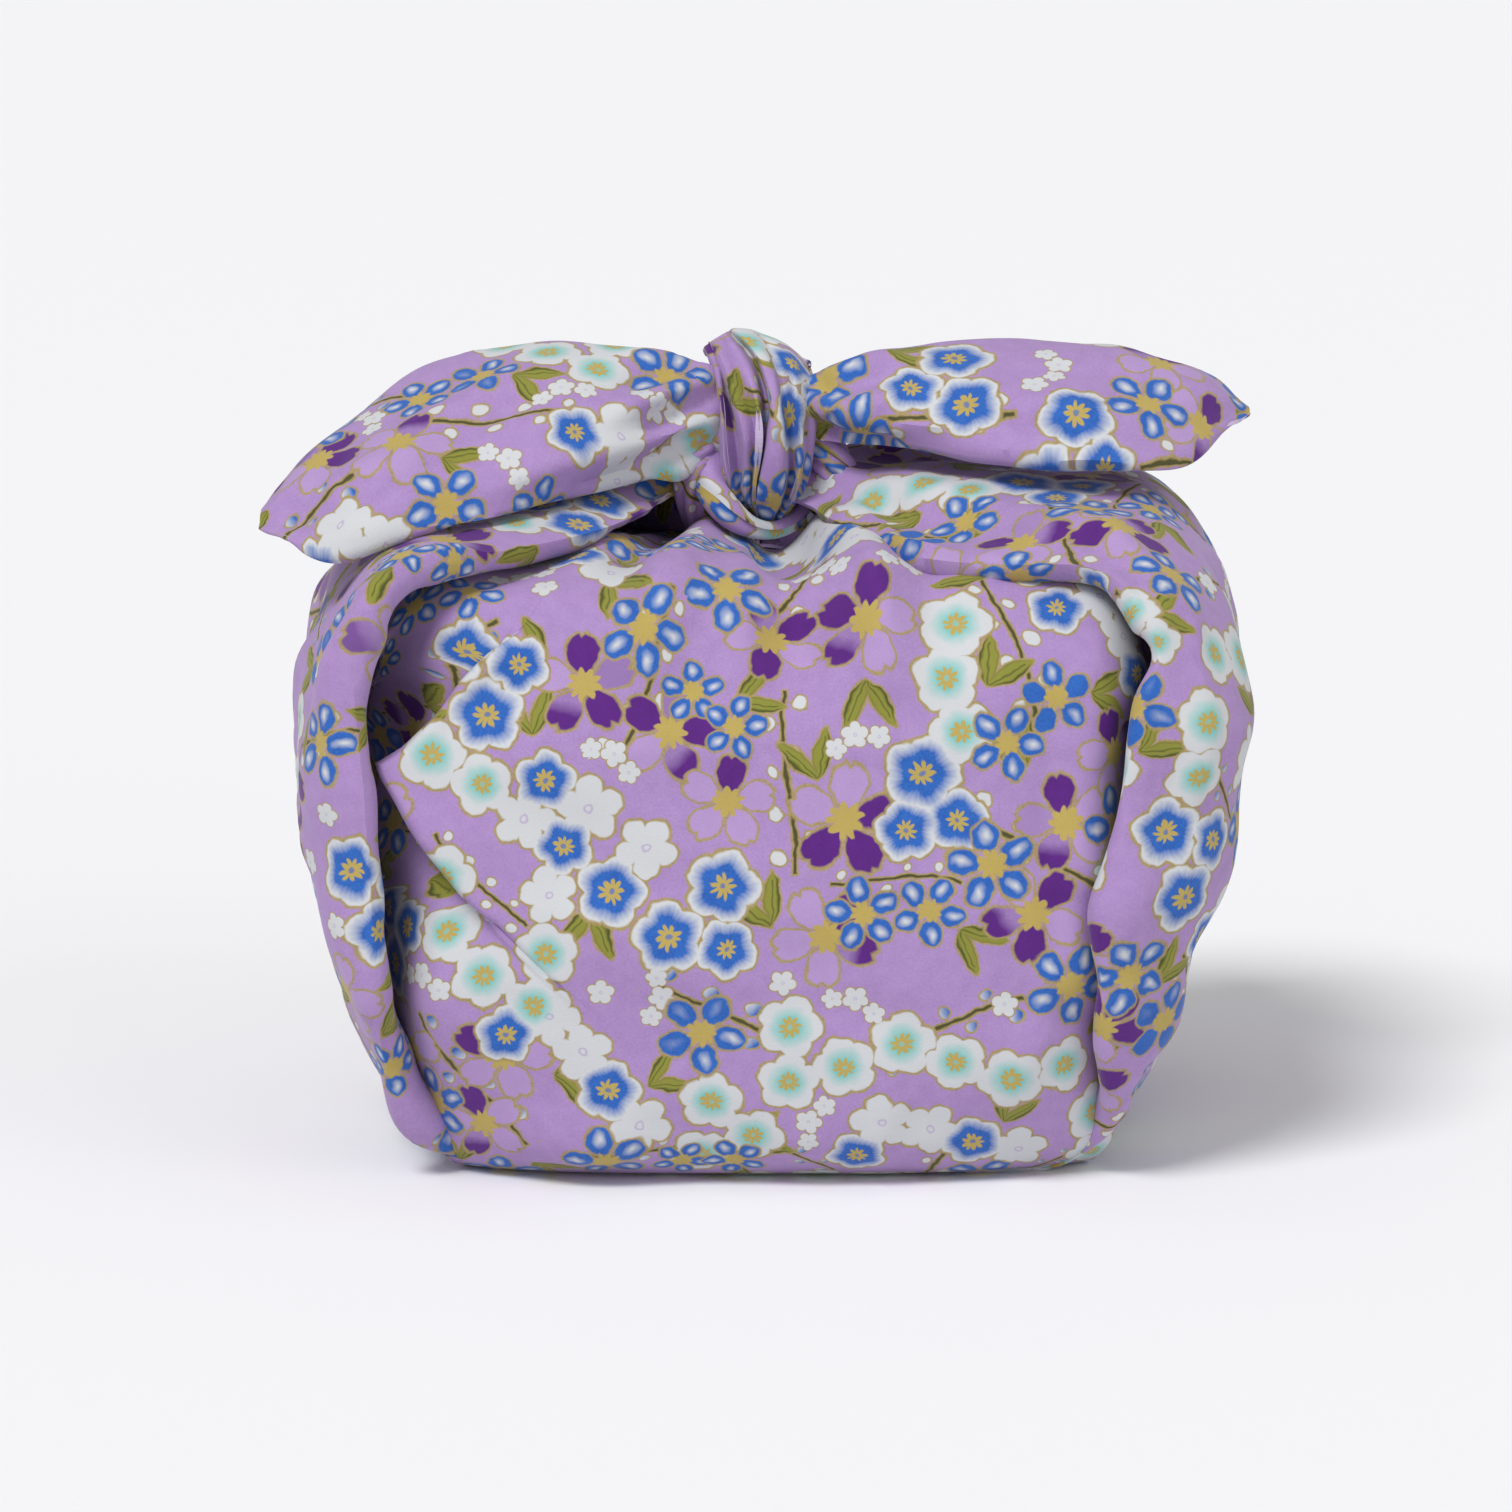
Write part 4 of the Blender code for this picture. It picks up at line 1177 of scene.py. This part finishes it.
def strand_grid(line, pleats, depth, spacing):
    """A rolled strand of cloth along a line, with pleats that run along it."""
    across, level, depth_y, radii = np.array(line, float).T
    line = np.column_stack([from_photo(across, level, depth_y), radii])
    length = np.linalg.norm(np.diff(line[:, :3], axis=0), axis=1).sum()
    fine = through(line, max(int(length / spacing), 8))
    along = np.gradient(fine[:, :3], axis=0)
    along /= np.linalg.norm(along, axis=1, keepdims=True)
    side = np.cross(along, np.array(STRAND_UP))
    side /= np.maximum(np.linalg.norm(side, axis=1, keepdims=True), 1e-6)
    up = np.cross(side, along)
    around = np.linspace(0.0, math.tau, STRAND_POINTS)
    grid = []
    for number, (row, across, over) in enumerate(zip(fine, side, up)):
        twist = STRAND_TWIST * number / len(fine)
        radius = row[3] * (1.0 - depth * np.abs(np.cos(0.5 * pleats * around + twist)) ** 3)
        grid.append(
            row[:3]
            + radius[:, None]
            * (np.cos(around)[:, None] * across + np.sin(around)[:, None] * over)
        )
    return np.array(grid)


# ---------------------------------------------------------------- shader maths


class Value:
    """One number of a shader, so that maths on it reads as an expression."""

    def __init__(self, desk, socket):
        self.desk = desk
        self.socket = socket

    def _with(self, operation, *others, clamp=False):
        """The result of a Math node on this number and the others."""
        node = self.desk.node(
            "ShaderNodeMath",
            {"operation": operation, "use_clamp": clamp},
            {n: value for n, value in enumerate((self, *others))},
        )
        return Value(self.desk, node.outputs[0])

    def __add__(self, other):
        return self._with("ADD", other)

    __radd__ = __add__

    def __sub__(self, other):
        return self._with("SUBTRACT", other)

    def __rsub__(self, other):
        return self.desk.number(other)._with("SUBTRACT", self)

    def __mul__(self, other):
        return self._with("MULTIPLY", other)

    __rmul__ = __mul__

    def __truediv__(self, other):
        return self._with("DIVIDE", other)

    def __pow__(self, other):
        return self._with("POWER", other)

    def __abs__(self):
        return self._with("ABSOLUTE")

    def cos(self):
        return self._with("COSINE")

    def sin(self):
        return self._with("SINE")

    def root(self):
        return self._with("SQRT")

    def floor(self):
        return self._with("FLOOR")

    def least(self, other):
        return self._with("MINIMUM", other)

    def most(self, other):
        return self._with("MAXIMUM", other)

    def held(self):
        """Kept from 0 to 1."""
        return self._with("ADD", 0.0, clamp=True)

    def angle_from(self, across):
        return self._with("ARCTAN2", across)

    def inside(self, soft=0.12):
        """1 where a distance is below nought, with a soft edge."""
        return self._with("MULTIPLY_ADD", -0.5 / soft, 0.5, clamp=True)


class Desk:
    """Makes the nodes of one material."""

    def __init__(self, material):
        self.tree = material.node_tree
        self.tree.nodes.clear()

    def node(self, kind, settings=None, inputs=None):
        """A node by its type, its settings, and the values or links of its sockets."""
        made = self.tree.nodes.new(kind)
        for name, value in (settings or {}).items():
            setattr(made, name, value)
        for name, value in (inputs or {}).items():
            socket = made.inputs[name]
            source = value.socket if isinstance(value, Value) else value
            if isinstance(source, bpy.types.NodeSocket):
                self.tree.links.new(source, socket)
            else:
                socket.default_value = source
        return made

    def number(self, value):
        """A plain number as a value, for what is taken away from it."""
        node = self.node("ShaderNodeValue")
        node.outputs[0].default_value = value
        return Value(self, node.outputs[0])

    def paint(self, under, over, mask):
        """A colour over another where the mask is 1."""
        node = self.node(
            "ShaderNodeMix",
            {"data_type": "RGBA", "clamp_factor": True},
            {0: mask, 6: under, 7: over},
        )
        return node.outputs[2]

    def vector(self, name):
        """An attribute's three numbers."""
        read = self.node("ShaderNodeAttribute", {"attribute_name": name})
        split = self.node("ShaderNodeSeparateXYZ", None, {0: read.outputs["Vector"]})
        return [Value(self, out) for out in split.outputs]

    def noise(self, vector, scale, detail, colour=False):
        """Soft noise over the cloth, as one number or as a colour."""
        node = self.node(
            "ShaderNodeTexNoise",
            {"noise_dimensions": "2D"},
            {"Vector": vector, "Scale": scale, "Detail": detail},
        )
        return node.outputs["Color"] if colour else Value(self, node.outputs["Fac"])

    def chance(self, value):
        """A settled random number from 0 to 1 for each whole number."""
        node = self.node("ShaderNodeTexWhiteNoise", {"noise_dimensions": "1D"}, {"W": value})
        return Value(self, node.outputs["Value"])


def tint(red, green, blue):
    """A screen colour from 0 to 255 as Blender's own linear one."""
    linear = []
    for part in (red, green, blue):
        share = part / 255.0
        linear.append(share / 12.92 if share <= 0.04045 else ((share + 0.055) / 1.055) ** 2.4)
    return (*linear, 1.0)


LILAC_DEEP = tint(146, 114, 168)
LILAC_PALE = tint(178, 150, 198)
PURPLE_DEEP = tint(68, 16, 102)
REVERSE_PALE = tint(196, 186, 204)
WHITE_INK = tint(196, 198, 201)
GOLD_DARK = tint(134, 114, 66)
GOLD_BRIGHT = tint(184, 162, 80)
BLUE_DEEP = tint(24, 72, 152)
AQUA_INK = tint(112, 184, 178)
LEAF_DARK = tint(72, 78, 24)
LEAF_LIGHT = tint(132, 132, 52)
TWIG_INK = tint(72, 70, 34)


PETALS = 5.0
# Rays of the star in a blossom's middle.
RAYS = 9.0
# What keeps the random numbers of one motif's petals, or buds, apart from the next one's.
PETAL_STRIDE, BUD_STRIDE, FADE_SHIFT = 7.0, 11.0, 500.0


def motif_frame(desk, layer, warp):
    """A motif's own x and y, a little warped as by hand, and its variant."""
    x, y, variant = desk.vector(layer)
    return x + warp[0], y + warp[1], variant


def petal_frame(x, y):
    """Along and across the nearest petal, its number, the distance from the middle and
    the turn, in petals."""
    away = (x * x + y * y).root()
    turn = y.angle_from(x) * (PETALS / math.tau) + 0.5
    number = turn.floor()
    angle = (turn - number - 0.5) * (math.tau / PETALS)
    return away * angle.cos(), away * angle.sin(), number, away, turn


def oval(along, across, middle, half_length, half_width):
    """The distance to an oval's edge, below nought inside it."""
    a = (along - middle) / half_length
    b = across / half_width
    return ((a * a + b * b).root() - 1.0) * min(half_length, half_width)


def star(away, turn, reach, depth):
    """The distance to a star of thin rays round the middle."""
    ray = abs((turn * (math.pi * RAYS / PETALS)).cos())
    return away - (ray * depth + (reach - depth))


def whole(variant):
    """A variant as its whole number, the same all over its motif."""
    return (variant * VARIANTS + 0.5).floor()


# Half a twig's length, where its buds end, and how far apart they stand.
TWIG_HALF, BUDS_HALF, BUD_SPACING = 14.2, 14.0, 3.5


def paint_twig(desk, colour, inks, warp, layer):
    """A bent twig with buds on short stalks, on one side and the other in turn."""
    x, y, variant = motif_frame(desk, layer, warp)
    bend = y - (x * 0.11).sin() * 2.2 - (variant - 0.5) * x * x * 0.02
    ends = abs(x) - TWIG_HALF
    bud_ends = abs(x) - BUDS_HALF
    stem = (abs(bend) - 0.3).most(ends)
    cell = x / BUD_SPACING
    number = cell.floor()
    bud_x = (cell - number - 0.5) * BUD_SPACING
    side = (number * math.pi).cos()
    luck = desk.chance(number + whole(variant) * BUD_STRIDE)
    bud_x, bud_y = bud_x - luck * 0.6 + 0.3, bend - side * (1.9 + luck * 0.9)
    bud = (bud_x * bud_x + bud_y * bud_y * 1.1).root() - (luck * 0.42 + 0.8)
    bud = bud.most(bud_ends)
    stalk = (abs(bud_x) - 0.16).most(abs(bend - side * 0.9) - 0.9).most(bud_ends)
    colour = desk.paint(colour, inks["gold"], (stem - 0.36).inside())
    colour = desk.paint(colour, inks["gold"], stalk.inside())
    colour = desk.paint(colour, TWIG_INK, stem.inside())
    colour = desk.paint(colour, inks["gold"], (bud - 0.34).inside())
    white_bud = desk.paint(
        WHITE_INK, inks["blue"], ((0.45 - variant) * 9.0).held() * (bud_x * 0.5 + 0.6).held()
    )
    return desk.paint(colour, white_bud, bud.inside())


# A leaf's length and half width, the angle of each leaf of a pair to the line between
# them, and how far the pair's middle is from its stalk.
LEAF_LENGTH, LEAF_HALF, LEAF_SPREAD, LEAF_MIDDLE = 8.0, 1.26, 0.5, 3.9


def paint_leaf(desk, colour, inks, warp):
    """A pair of leaves on one stalk, dark at the edge, with a vein."""
    x, y, _ = motif_frame(desk, "leaf_0", warp)
    x = x + LEAF_MIDDLE
    wide = abs(y)
    along = x * math.cos(LEAF_SPREAD) + wide * math.sin(LEAF_SPREAD)
    across = wide * math.cos(LEAF_SPREAD) - x * math.sin(LEAF_SPREAD)
    share = (along / LEAF_LENGTH).held()
    half = (share * math.pi).sin().most(0.0) ** 0.8 * LEAF_HALF
    leaf = (abs(across) - half).most(abs(along - LEAF_LENGTH / 2.0) - LEAF_LENGTH / 2.0)
    rim = (abs(across) / (half + 0.1) * 1.9 - 0.95 + across * 0.35).held()
    dark = desk.paint(LEAF_LIGHT, LEAF_DARK, rim * 1.3)
    colour = desk.paint(colour, inks["gold"], (leaf - 0.34).inside())
    colour = desk.paint(colour, dark, leaf.inside())
    vein = (abs(across) - 0.1).most(abs(along - 3.4) - 3.2)
    return desk.paint(colour, LEAF_DARK, vein.inside() * 0.9)


def paint_sakura(desk, colour, inks, warp, layer):
    """A cherry blossom: notched petals, some full and some in outline."""
    x, y, variant = motif_frame(desk, layer, warp)
    along, across, number, away, turn = petal_frame(x, y)
    width = along * 0.05 + 0.72
    petal = oval(along, across / width, 4.95, 3.3, 2.65)
    notch = (along - 7.5 - abs(across) * 1.0) * 0.6
    petal = petal.most(notch)
    luck = desk.chance(number + whole(variant) * PETAL_STRIDE)
    full = ((luck - 0.36) * 12.0).held()
    fade = desk.chance(number + whole(variant) * PETAL_STRIDE + FADE_SHIFT)
    fade = (fade - 0.55) * 9.0
    shade = ((along - 3.4) * 0.42 + across * 0.18).held()
    deep = desk.paint(inks["purple"], inks["purple_pale"], (shade * -1.0 + 1.0) * fade.held())
    fill = desk.paint(LILAC_PALE, deep, full)
    fill = desk.paint(fill, inks["lilac"], (1.0 - full) * 0.55)
    colour = desk.paint(colour, inks["gold"], (petal - 0.3).inside(0.16))
    colour = desk.paint(colour, fill, (petal + 0.14).inside(0.16))
    heart = star(away, turn, 2.8, 1.15)
    return desk.paint(colour, inks["gold_full"], heart.inside(0.15))


def paint_small(desk, colour, inks, warp, layer):
    """A small blossom: round blue petals, most with a white middle."""
    x, y, variant = motif_frame(desk, layer, warp)
    along, across, number, away, turn = petal_frame(x, y)
    petal = oval(along, across, 3.6, 1.95, 1.6)
    core = oval(along, across, 3.85, 0.85, 0.5)
    luck = desk.chance(number + whole(variant) * PETAL_STRIDE)
    colour = desk.paint(colour, inks["gold"], (petal - 0.34).inside(0.16))
    colour = desk.paint(colour, inks["blue"], petal.inside())
    lit = core.inside(0.4) * (1.0 - ((variant - 0.8) * 20.0).held() * (luck * 2.0).held())
    colour = desk.paint(colour, WHITE_INK, lit)
    heart = star(away, turn, 1.95, 0.7)
    return desk.paint(colour, inks["gold_full"], heart.inside(0.14))


def coloured(variant, kind):
    """1 where a plum blossom's variant is this kind."""
    return (1.0 - abs(variant - kind) * 8.0).held()


def plum_outline(desk, warp, layer):
    """A plum flower's scalloped edge, and what its middle is painted from."""
    x, y, variant = motif_frame(desk, layer, warp)
    along, across, _, away, turn = petal_frame(x, y)
    plain = coloured(variant, PLAIN)
    lobe = ((along - plain * 0.35 - 2.75) ** 2.0 + across * across).root() - (2.4 - plain * 0.42)
    edge = lobe.least(away - 2.6 + plain * 0.3)
    return edge, away, turn, variant


def paint_plums(desk, colour, inks, warp, layers):
    """Plum blossoms under one common outline, each with its own middle."""
    parts = [plum_outline(desk, warp, layer) for layer in layers]
    edge = parts[0][0]
    for part in parts[1:]:
        edge = edge.least(part[0])
    colour = desk.paint(colour, inks["gold"], (edge - 0.46).inside(0.16))
    colour = desk.paint(colour, WHITE_INK, edge.inside(0.14))
    for _, away, turn, variant in parts:
        scallop = (turn * math.tau).cos()
        disc = away - (3.62 - scallop * 0.28 - (turn * (math.tau * 6.0)).cos() * 0.07)
        is_blue = coloured(variant, BLUE)
        is_aqua = coloured(variant, AQUA)
        soft = disc.inside(0.85)
        colour = desk.paint(colour, inks["blue"], soft * is_blue)
        pale = (away - 2.5).inside(1.1)
        colour = desk.paint(colour, AQUA_INK, pale * is_aqua)
        rays = star(away, turn, 1.8, 0.95)
        ring = rays.inside(0.16) * (1.0 - (away - 0.42).inside(0.1) * 0.7)
        colour = desk.paint(colour, inks["gold_full"], ring * (is_blue + is_aqua).held())
        speck = abs(away - 0.55) - 0.14
        faint = speck.inside(0.12) * (1.0 - (is_blue + is_aqua).held())
        colour = desk.paint(colour, inks["lilac"], faint * 0.6)
    return colour


# Width of a pair of threads.
THREAD = 0.55


def cotton_material(look):
    """The printed cotton: its inks, the paler reverse, the weave and a soft sheen."""
    material = bpy.data.materials.new(COTTON)
    material.use_nodes = True
    desk = Desk(material)
    across, along, reverse = desk.vector("cloth_place")
    flat = desk.node("ShaderNodeCombineXYZ", None, {0: across, 1: along}).outputs[0]
    wobble = desk.node(
        "ShaderNodeSeparateXYZ", None, {0: desk.noise(flat, 0.42, 1.0, colour=True)}
    )
    warp = [(Value(desk, wobble.outputs[n]) - 0.5) * 0.9 for n in (0, 1)]
    mottle = desk.noise(flat, 0.35, 4.0)
    grain = desk.noise(flat, 2.4, 3.0)
    tone = ((mottle - 0.5) * 0.6 + (grain - 0.5) * 0.8 + 0.62).held()
    lilac = desk.paint(LILAC_DEEP, look.lilac, tone)
    gold = desk.paint(GOLD_DARK, look.gold, (tone * 1.4 - 0.1).held())
    inks = {
        "lilac": lilac,
        "gold": gold,
        "gold_full": desk.paint(gold, GOLD_BRIGHT, 0.7),
        "purple": desk.paint(PURPLE_DEEP, look.purple, tone),
        "purple_pale": desk.paint(look.purple, lilac, 0.75),
        "blue": desk.paint(BLUE_DEEP, look.blue, (tone * 1.5 - 0.2).held()),
    }
    colour = lilac
    for layer in ("twig_1", "twig_0"):
        colour = paint_twig(desk, colour, inks, warp, layer)
    colour = paint_leaf(desk, colour, inks, warp)
    for layer in ("sakura_1", "sakura_0"):
        colour = paint_sakura(desk, colour, inks, warp, layer)
    colour = paint_plums(desk, colour, inks, warp, ("plum_0", "plum_1", "plum_2"))
    for layer in ("small_1", "small_0"):
        colour = paint_small(desk, colour, inks, warp, layer)
    pale = desk.paint(colour, REVERSE_PALE, 0.6)
    colour = desk.paint(colour, pale, reverse)
    threads = (across * (math.tau / THREAD)).sin() * (along * (math.tau / THREAD)).sin()
    height = threads * 0.3 + grain * 1.1 + mottle * 0.5
    bump = desk.node(
        "ShaderNodeBump", None, {"Strength": 0.16, "Distance": 0.00035, "Height": height}
    )
    rough = (grain - 0.5) * 0.16 + 0.8
    shader = desk.node(
        "ShaderNodeBsdfPrincipled",
        None,
        {
            "Base Color": colour,
            "Roughness": rough,
            "Normal": bump.outputs[0],
            "Specular IOR Level": 0.32,
            "Sheen Weight": 0.12,
            "Sheen Roughness": 0.5,
        },
    )
    output = desk.node("ShaderNodeOutputMaterial")
    desk.tree.links.new(shader.outputs[0], output.inputs["Surface"])
    return material


# ---------------------------------------------------------------- the add-on


class ClothLook(bpy.types.PropertyGroup):
    """Sizes and colours of the cloth."""

    spacing: bpy.props.FloatProperty(
        name="Mesh spacing", description="Distance between the mesh's points",
        default=0.0013, min=0.0008, max=0.004, unit="LENGTH",
    )
    slack: bpy.props.FloatProperty(
        name="Slack", description="Height of the cloth's small waves",
        default=0.0005, min=0.0, max=0.002, unit="LENGTH",
    )
    lilac: bpy.props.FloatVectorProperty(
        name="Ground", description="Colour of the cloth between the flowers",
        default=tint(170, 140, 192), size=4, subtype="COLOR", min=0.0, max=1.0,
    )
    purple: bpy.props.FloatVectorProperty(
        name="Purple petals", description="Colour of the full petals",
        default=tint(90, 26, 126), size=4, subtype="COLOR", min=0.0, max=1.0,
    )
    blue: bpy.props.FloatVectorProperty(
        name="Blue", description="Colour of the blue flowers",
        default=tint(42, 100, 182), size=4, subtype="COLOR", min=0.0, max=1.0,
    )
    gold: bpy.props.FloatVectorProperty(
        name="Gold lines", description="Colour of the outlines",
        default=tint(164, 144, 96), size=4, subtype="COLOR", min=0.0, max=1.0,
    )


class StageLook(bpy.types.PropertyGroup):
    """The floor and the lights."""

    floor: bpy.props.FloatVectorProperty(
        name="Floor", description="Colour of the floor",
        default=tint(244, 244, 246), size=4, subtype="COLOR", min=0.0, max=1.0,
    )
    key: bpy.props.FloatProperty(
        name="Key light", description="Strength of the main light",
        default=2.15, min=0.0, max=20.0,
    )
    around: bpy.props.FloatProperty(
        name="Light all round", description="Strength of the pale surroundings",
        default=0.44, min=0.0, max=4.0,
    )


PRINT = {}


def print_layers():
    """The print's motifs by layer with their nearest maps, charted once a run."""
    if not PRINT:
        for name, motifs in in_layers(chart_motifs(FILLING_SEED), VARIANT_SEED).items():
            PRINT[name] = (motifs, nearest_map(motifs, name.rsplit("_", 1)[0]))
    return PRINT


def sizes():
    """The user's spacing and slack, in millimetres."""
    look = bpy.context.scene.furoshiki_cloth
    return look.spacing / MM, look.slack / MM


# How much more slack the back and the wings have than the front, and how much finer
# the ends' mesh is.
BACK_SLACK, WING_SLACK, END_SPACING = 1.6, 1.3, 0.8


def calm_foot(grid):
    """0 where the cloth lies on the floor, 1 a little above it."""
    return step((grid[..., 2] - 1.0) / 6.0)


def add_sheet(name, grid, outward, place):
    """One sheet as a finished piece."""
    shell = thin_shell(grid, outward, place, SHEET_THICKNESS)
    obj = cloth_object(name, shell, print_layers())
    finish_piece(obj)


class FUROSHIKI_OT_cotton(bpy.types.Operator):
    """Makes the printed cotton"""

    bl_idname = "furoshiki.cotton"
    bl_label = "Printed cotton"

    def execute(self, context):
        cotton_material(context.scene.furoshiki_cloth)
        return {"FINISHED"}


class FUROSHIKI_OT_panels(bpy.types.Operator):
    """Adds the front panel with its pointed fold, and the back panel"""

    bl_idname = "furoshiki.panels"
    bl_label = "Front and back panels"

    def execute(self, context):
        spacing, slack = sizes()
        for name, stations, folds, shift, outward, creases, seed, share in (
            ("front_panel", FRONT_STATIONS, POINTED_FOLD, (0.0, 0.0), (0.0, -1.0, 0.2),
             FRONT_CREASES, 3, 1.0),
            ("back_panel", BACK_STATIONS, None, (95.0, 20.0), (0.0, 1.0, 0.2),
             BACK_CREASES, 4, BACK_SLACK),
        ):
            grid = panel_grid(stations, folds, spacing)
            place = panel_place(grid, shift)
            calm = calm_foot(grid)
            grid = creased(grid, outward, creases)
            grid = uneven(grid, outward, seed, slack * share, calm)
            add_sheet(name, grid, outward, place)
        return {"FINISHED"}


class FUROSHIKI_OT_wings(bpy.types.Operator):
    """Adds the wings at the sides and the fans that they run into"""

    bl_idname = "furoshiki.wings"
    bl_label = "Wings and fans"

    def execute(self, context):
        spacing, slack = sizes()
        for name, rows, side, corner, turn, seed in (
            ("left_wing", LEFT_WING, -1.0, (60.0, 40.0), 180.0, 7),
            ("right_wing", RIGHT_WING, 1.0, (10.0, 118.0), 172.0, 8),
        ):
            grid = wing_grid(rows, side, spacing)
            outward = (side, 0.0, 0.3)
            place = flattened(grid, corner, turn)
            calm = calm_foot(grid)
            grid = creased(grid, outward, WING_CREASES[name])
            grid = uneven(grid, outward, seed, slack * WING_SLACK, calm)
            add_sheet(name, grid, outward, place)
        return {"FINISHED"}


class FUROSHIKI_OT_ends(bpy.types.Operator):
    """Adds the two free ends that lie left and right of the knot"""

    bl_idname = "furoshiki.ends"
    bl_label = "Ends"

    def execute(self, context):
        spacing, slack = sizes()
        for name, rows, corner, turn, below, seed in (
            ("left_end", LEFT_END, (30.0, 150.0), 95.0, "left_wing", 21),
            ("right_end", RIGHT_END, (120.0, 60.0), 80.0, "right_wing", 24),
        ):
            grid = end_grid(rows, spacing * END_SPACING)
            outward = (0.0, -0.7, 0.7)
            place = flattened(grid, corner, turn)
            grid = creased(grid, outward, END_CREASES[name])
            grid = uneven(grid, outward, seed, slack)
            add_sheet(name, grid, outward, place)
        return {"FINISHED"}


# The knot's own mesh spacings and slack: it is finer and tighter than the rest.
BAND_SPACING, STRAND_SPACING, KNOT_SLACK = 0.55, 1.0, 0.2


class FUROSHIKI_OT_knot(bpy.types.Operator):
    """Adds the knot: its pleated band and the strands that it holds"""

    bl_idname = "furoshiki.knot"
    bl_label = "Knot"

    def execute(self, context):
        grid = band_grid(BAND_SPACING)
        place = cloth_place(grid, (150.0, 20.0), 15.0)
        centre = grid.mean(axis=(0, 1))
        outward = grid[grid.shape[0] // 2, grid.shape[1] // 2] - centre
        grid = uneven(grid, outward, 31, KNOT_SLACK)
        add_sheet("knot_band", grid, outward, place)
        for number, (name, line, pleats, depth) in enumerate(STRANDS):
            grid = strand_grid(line, pleats, depth, STRAND_SPACING)
            middle = grid.shape[0] // 2, grid.shape[1] // 2
            centre = grid[middle[0]].mean(axis=0)
            outward = grid[middle] - centre
            place = cloth_place(grid, (40.0 + 35.0 * number, 90.0), 30.0 * number)
            grid = uneven(grid, outward, 40 + number, KNOT_SLACK)
            add_sheet(name, grid, outward, place)
        return {"FINISHED"}


SENSOR_WIDTH, FLOOR_SIZE = 36.0, 60.0
LIGHTS = (
    # name, direction that it comes from, spread in degrees, share of the key's strength
    ("key", (-0.42, -0.72, 1.0), 20.0, 1.0),
    ("fill", (0.85, -0.8, 0.45), 50.0, 0.26),
)


class FUROSHIKI_OT_stage(bpy.types.Operator):
    """Adds the floor, the lights and the camera"""

    bl_idname = "furoshiki.stage"
    bl_label = "Stage"

    def execute(self, context):
        look = context.scene.furoshiki_stage
        bpy.ops.object.select_all(action="DESELECT")
        bpy.ops.mesh.primitive_plane_add(size=FLOOR_SIZE)
        floor = context.object
        floor.name = "floor"
        paper = bpy.data.materials.new("floor_paper")
        paper.use_nodes = True
        shader = paper.node_tree.nodes["Principled BSDF"]
        shader.inputs["Base Color"].default_value = look.floor
        shader.inputs["Roughness"].default_value = 0.9
        floor.data.materials.append(paper)
        world = bpy.data.worlds.new("pale_room")
        world.use_nodes = True
        background = world.node_tree.nodes["Background"]
        background.inputs["Color"].default_value = (1.0, 1.0, 1.0, 1.0)
        background.inputs["Strength"].default_value = look.around
        context.scene.world = world
        for name, place, spread, share in LIGHTS:
            light = bpy.data.lights.new(name, "SUN")
            light.energy = look.key * share
            light.angle = math.radians(spread)
            obj = bpy.data.objects.new(name, light)
            obj.location = place
            obj.rotation_euler = Vector(place).to_track_quat("Z", "Y").to_euler()
            context.scene.collection.objects.link(obj)
        camera = bpy.data.cameras.new("photo_camera")
        camera.sensor_width = SENSOR_WIDTH
        camera.lens = SENSOR_WIDTH * CAMERA_DISTANCE / FRAME_WIDTH
        obj = bpy.data.objects.new("photo_camera", camera)
        lift = math.radians(CAMERA_ELEVATION)
        aim = Vector(CAMERA_AIM) * MM
        back = Vector((0.0, -math.cos(lift), math.sin(lift)))
        obj.location = aim + back * CAMERA_DISTANCE * MM
        obj.rotation_euler = (-back).to_track_quat("-Z", "Y").to_euler()
        context.scene.collection.objects.link(obj)
        context.scene.camera = obj
        context.scene.view_settings.view_transform = "Standard"
        return {"FINISHED"}


class FUROSHIKI_PT_panel(bpy.types.Panel):
    """Lists the steps of the bag in the sidebar"""

    bl_idname = "FUROSHIKI_PT_panel"
    bl_label = "Furoshiki bag"
    bl_space_type = "VIEW_3D"
    bl_region_type = "UI"
    bl_category = "Furoshiki"

    def draw(self, context):
        layout = self.layout
        for group in (context.scene.furoshiki_cloth, context.scene.furoshiki_stage):
            for name in group.__annotations__:
                layout.prop(group, name)
        for step_class in STEPS:
            layout.operator(step_class.bl_idname)


STEPS = (
    FUROSHIKI_OT_cotton,
    FUROSHIKI_OT_panels,
    FUROSHIKI_OT_wings,
    FUROSHIKI_OT_ends,
    FUROSHIKI_OT_knot,
    FUROSHIKI_OT_stage,
)
CLASSES = (ClothLook, StageLook, *STEPS, FUROSHIKI_PT_panel)


def register():
    for item in CLASSES:
        bpy.utils.register_class(item)
    bpy.types.Scene.furoshiki_cloth = bpy.props.PointerProperty(type=ClothLook)
    bpy.types.Scene.furoshiki_stage = bpy.props.PointerProperty(type=StageLook)


def unregister():
    del bpy.types.Scene.furoshiki_stage
    del bpy.types.Scene.furoshiki_cloth
    for item in reversed(CLASSES):
        bpy.utils.unregister_class(item)


def main():
    register()
    bpy.ops.furoshiki.cotton()
    bpy.ops.furoshiki.panels()
    bpy.ops.furoshiki.wings()
    bpy.ops.furoshiki.ends()
    bpy.ops.furoshiki.knot()
    bpy.ops.furoshiki.stage()


if __name__ == "__main__":
    main()
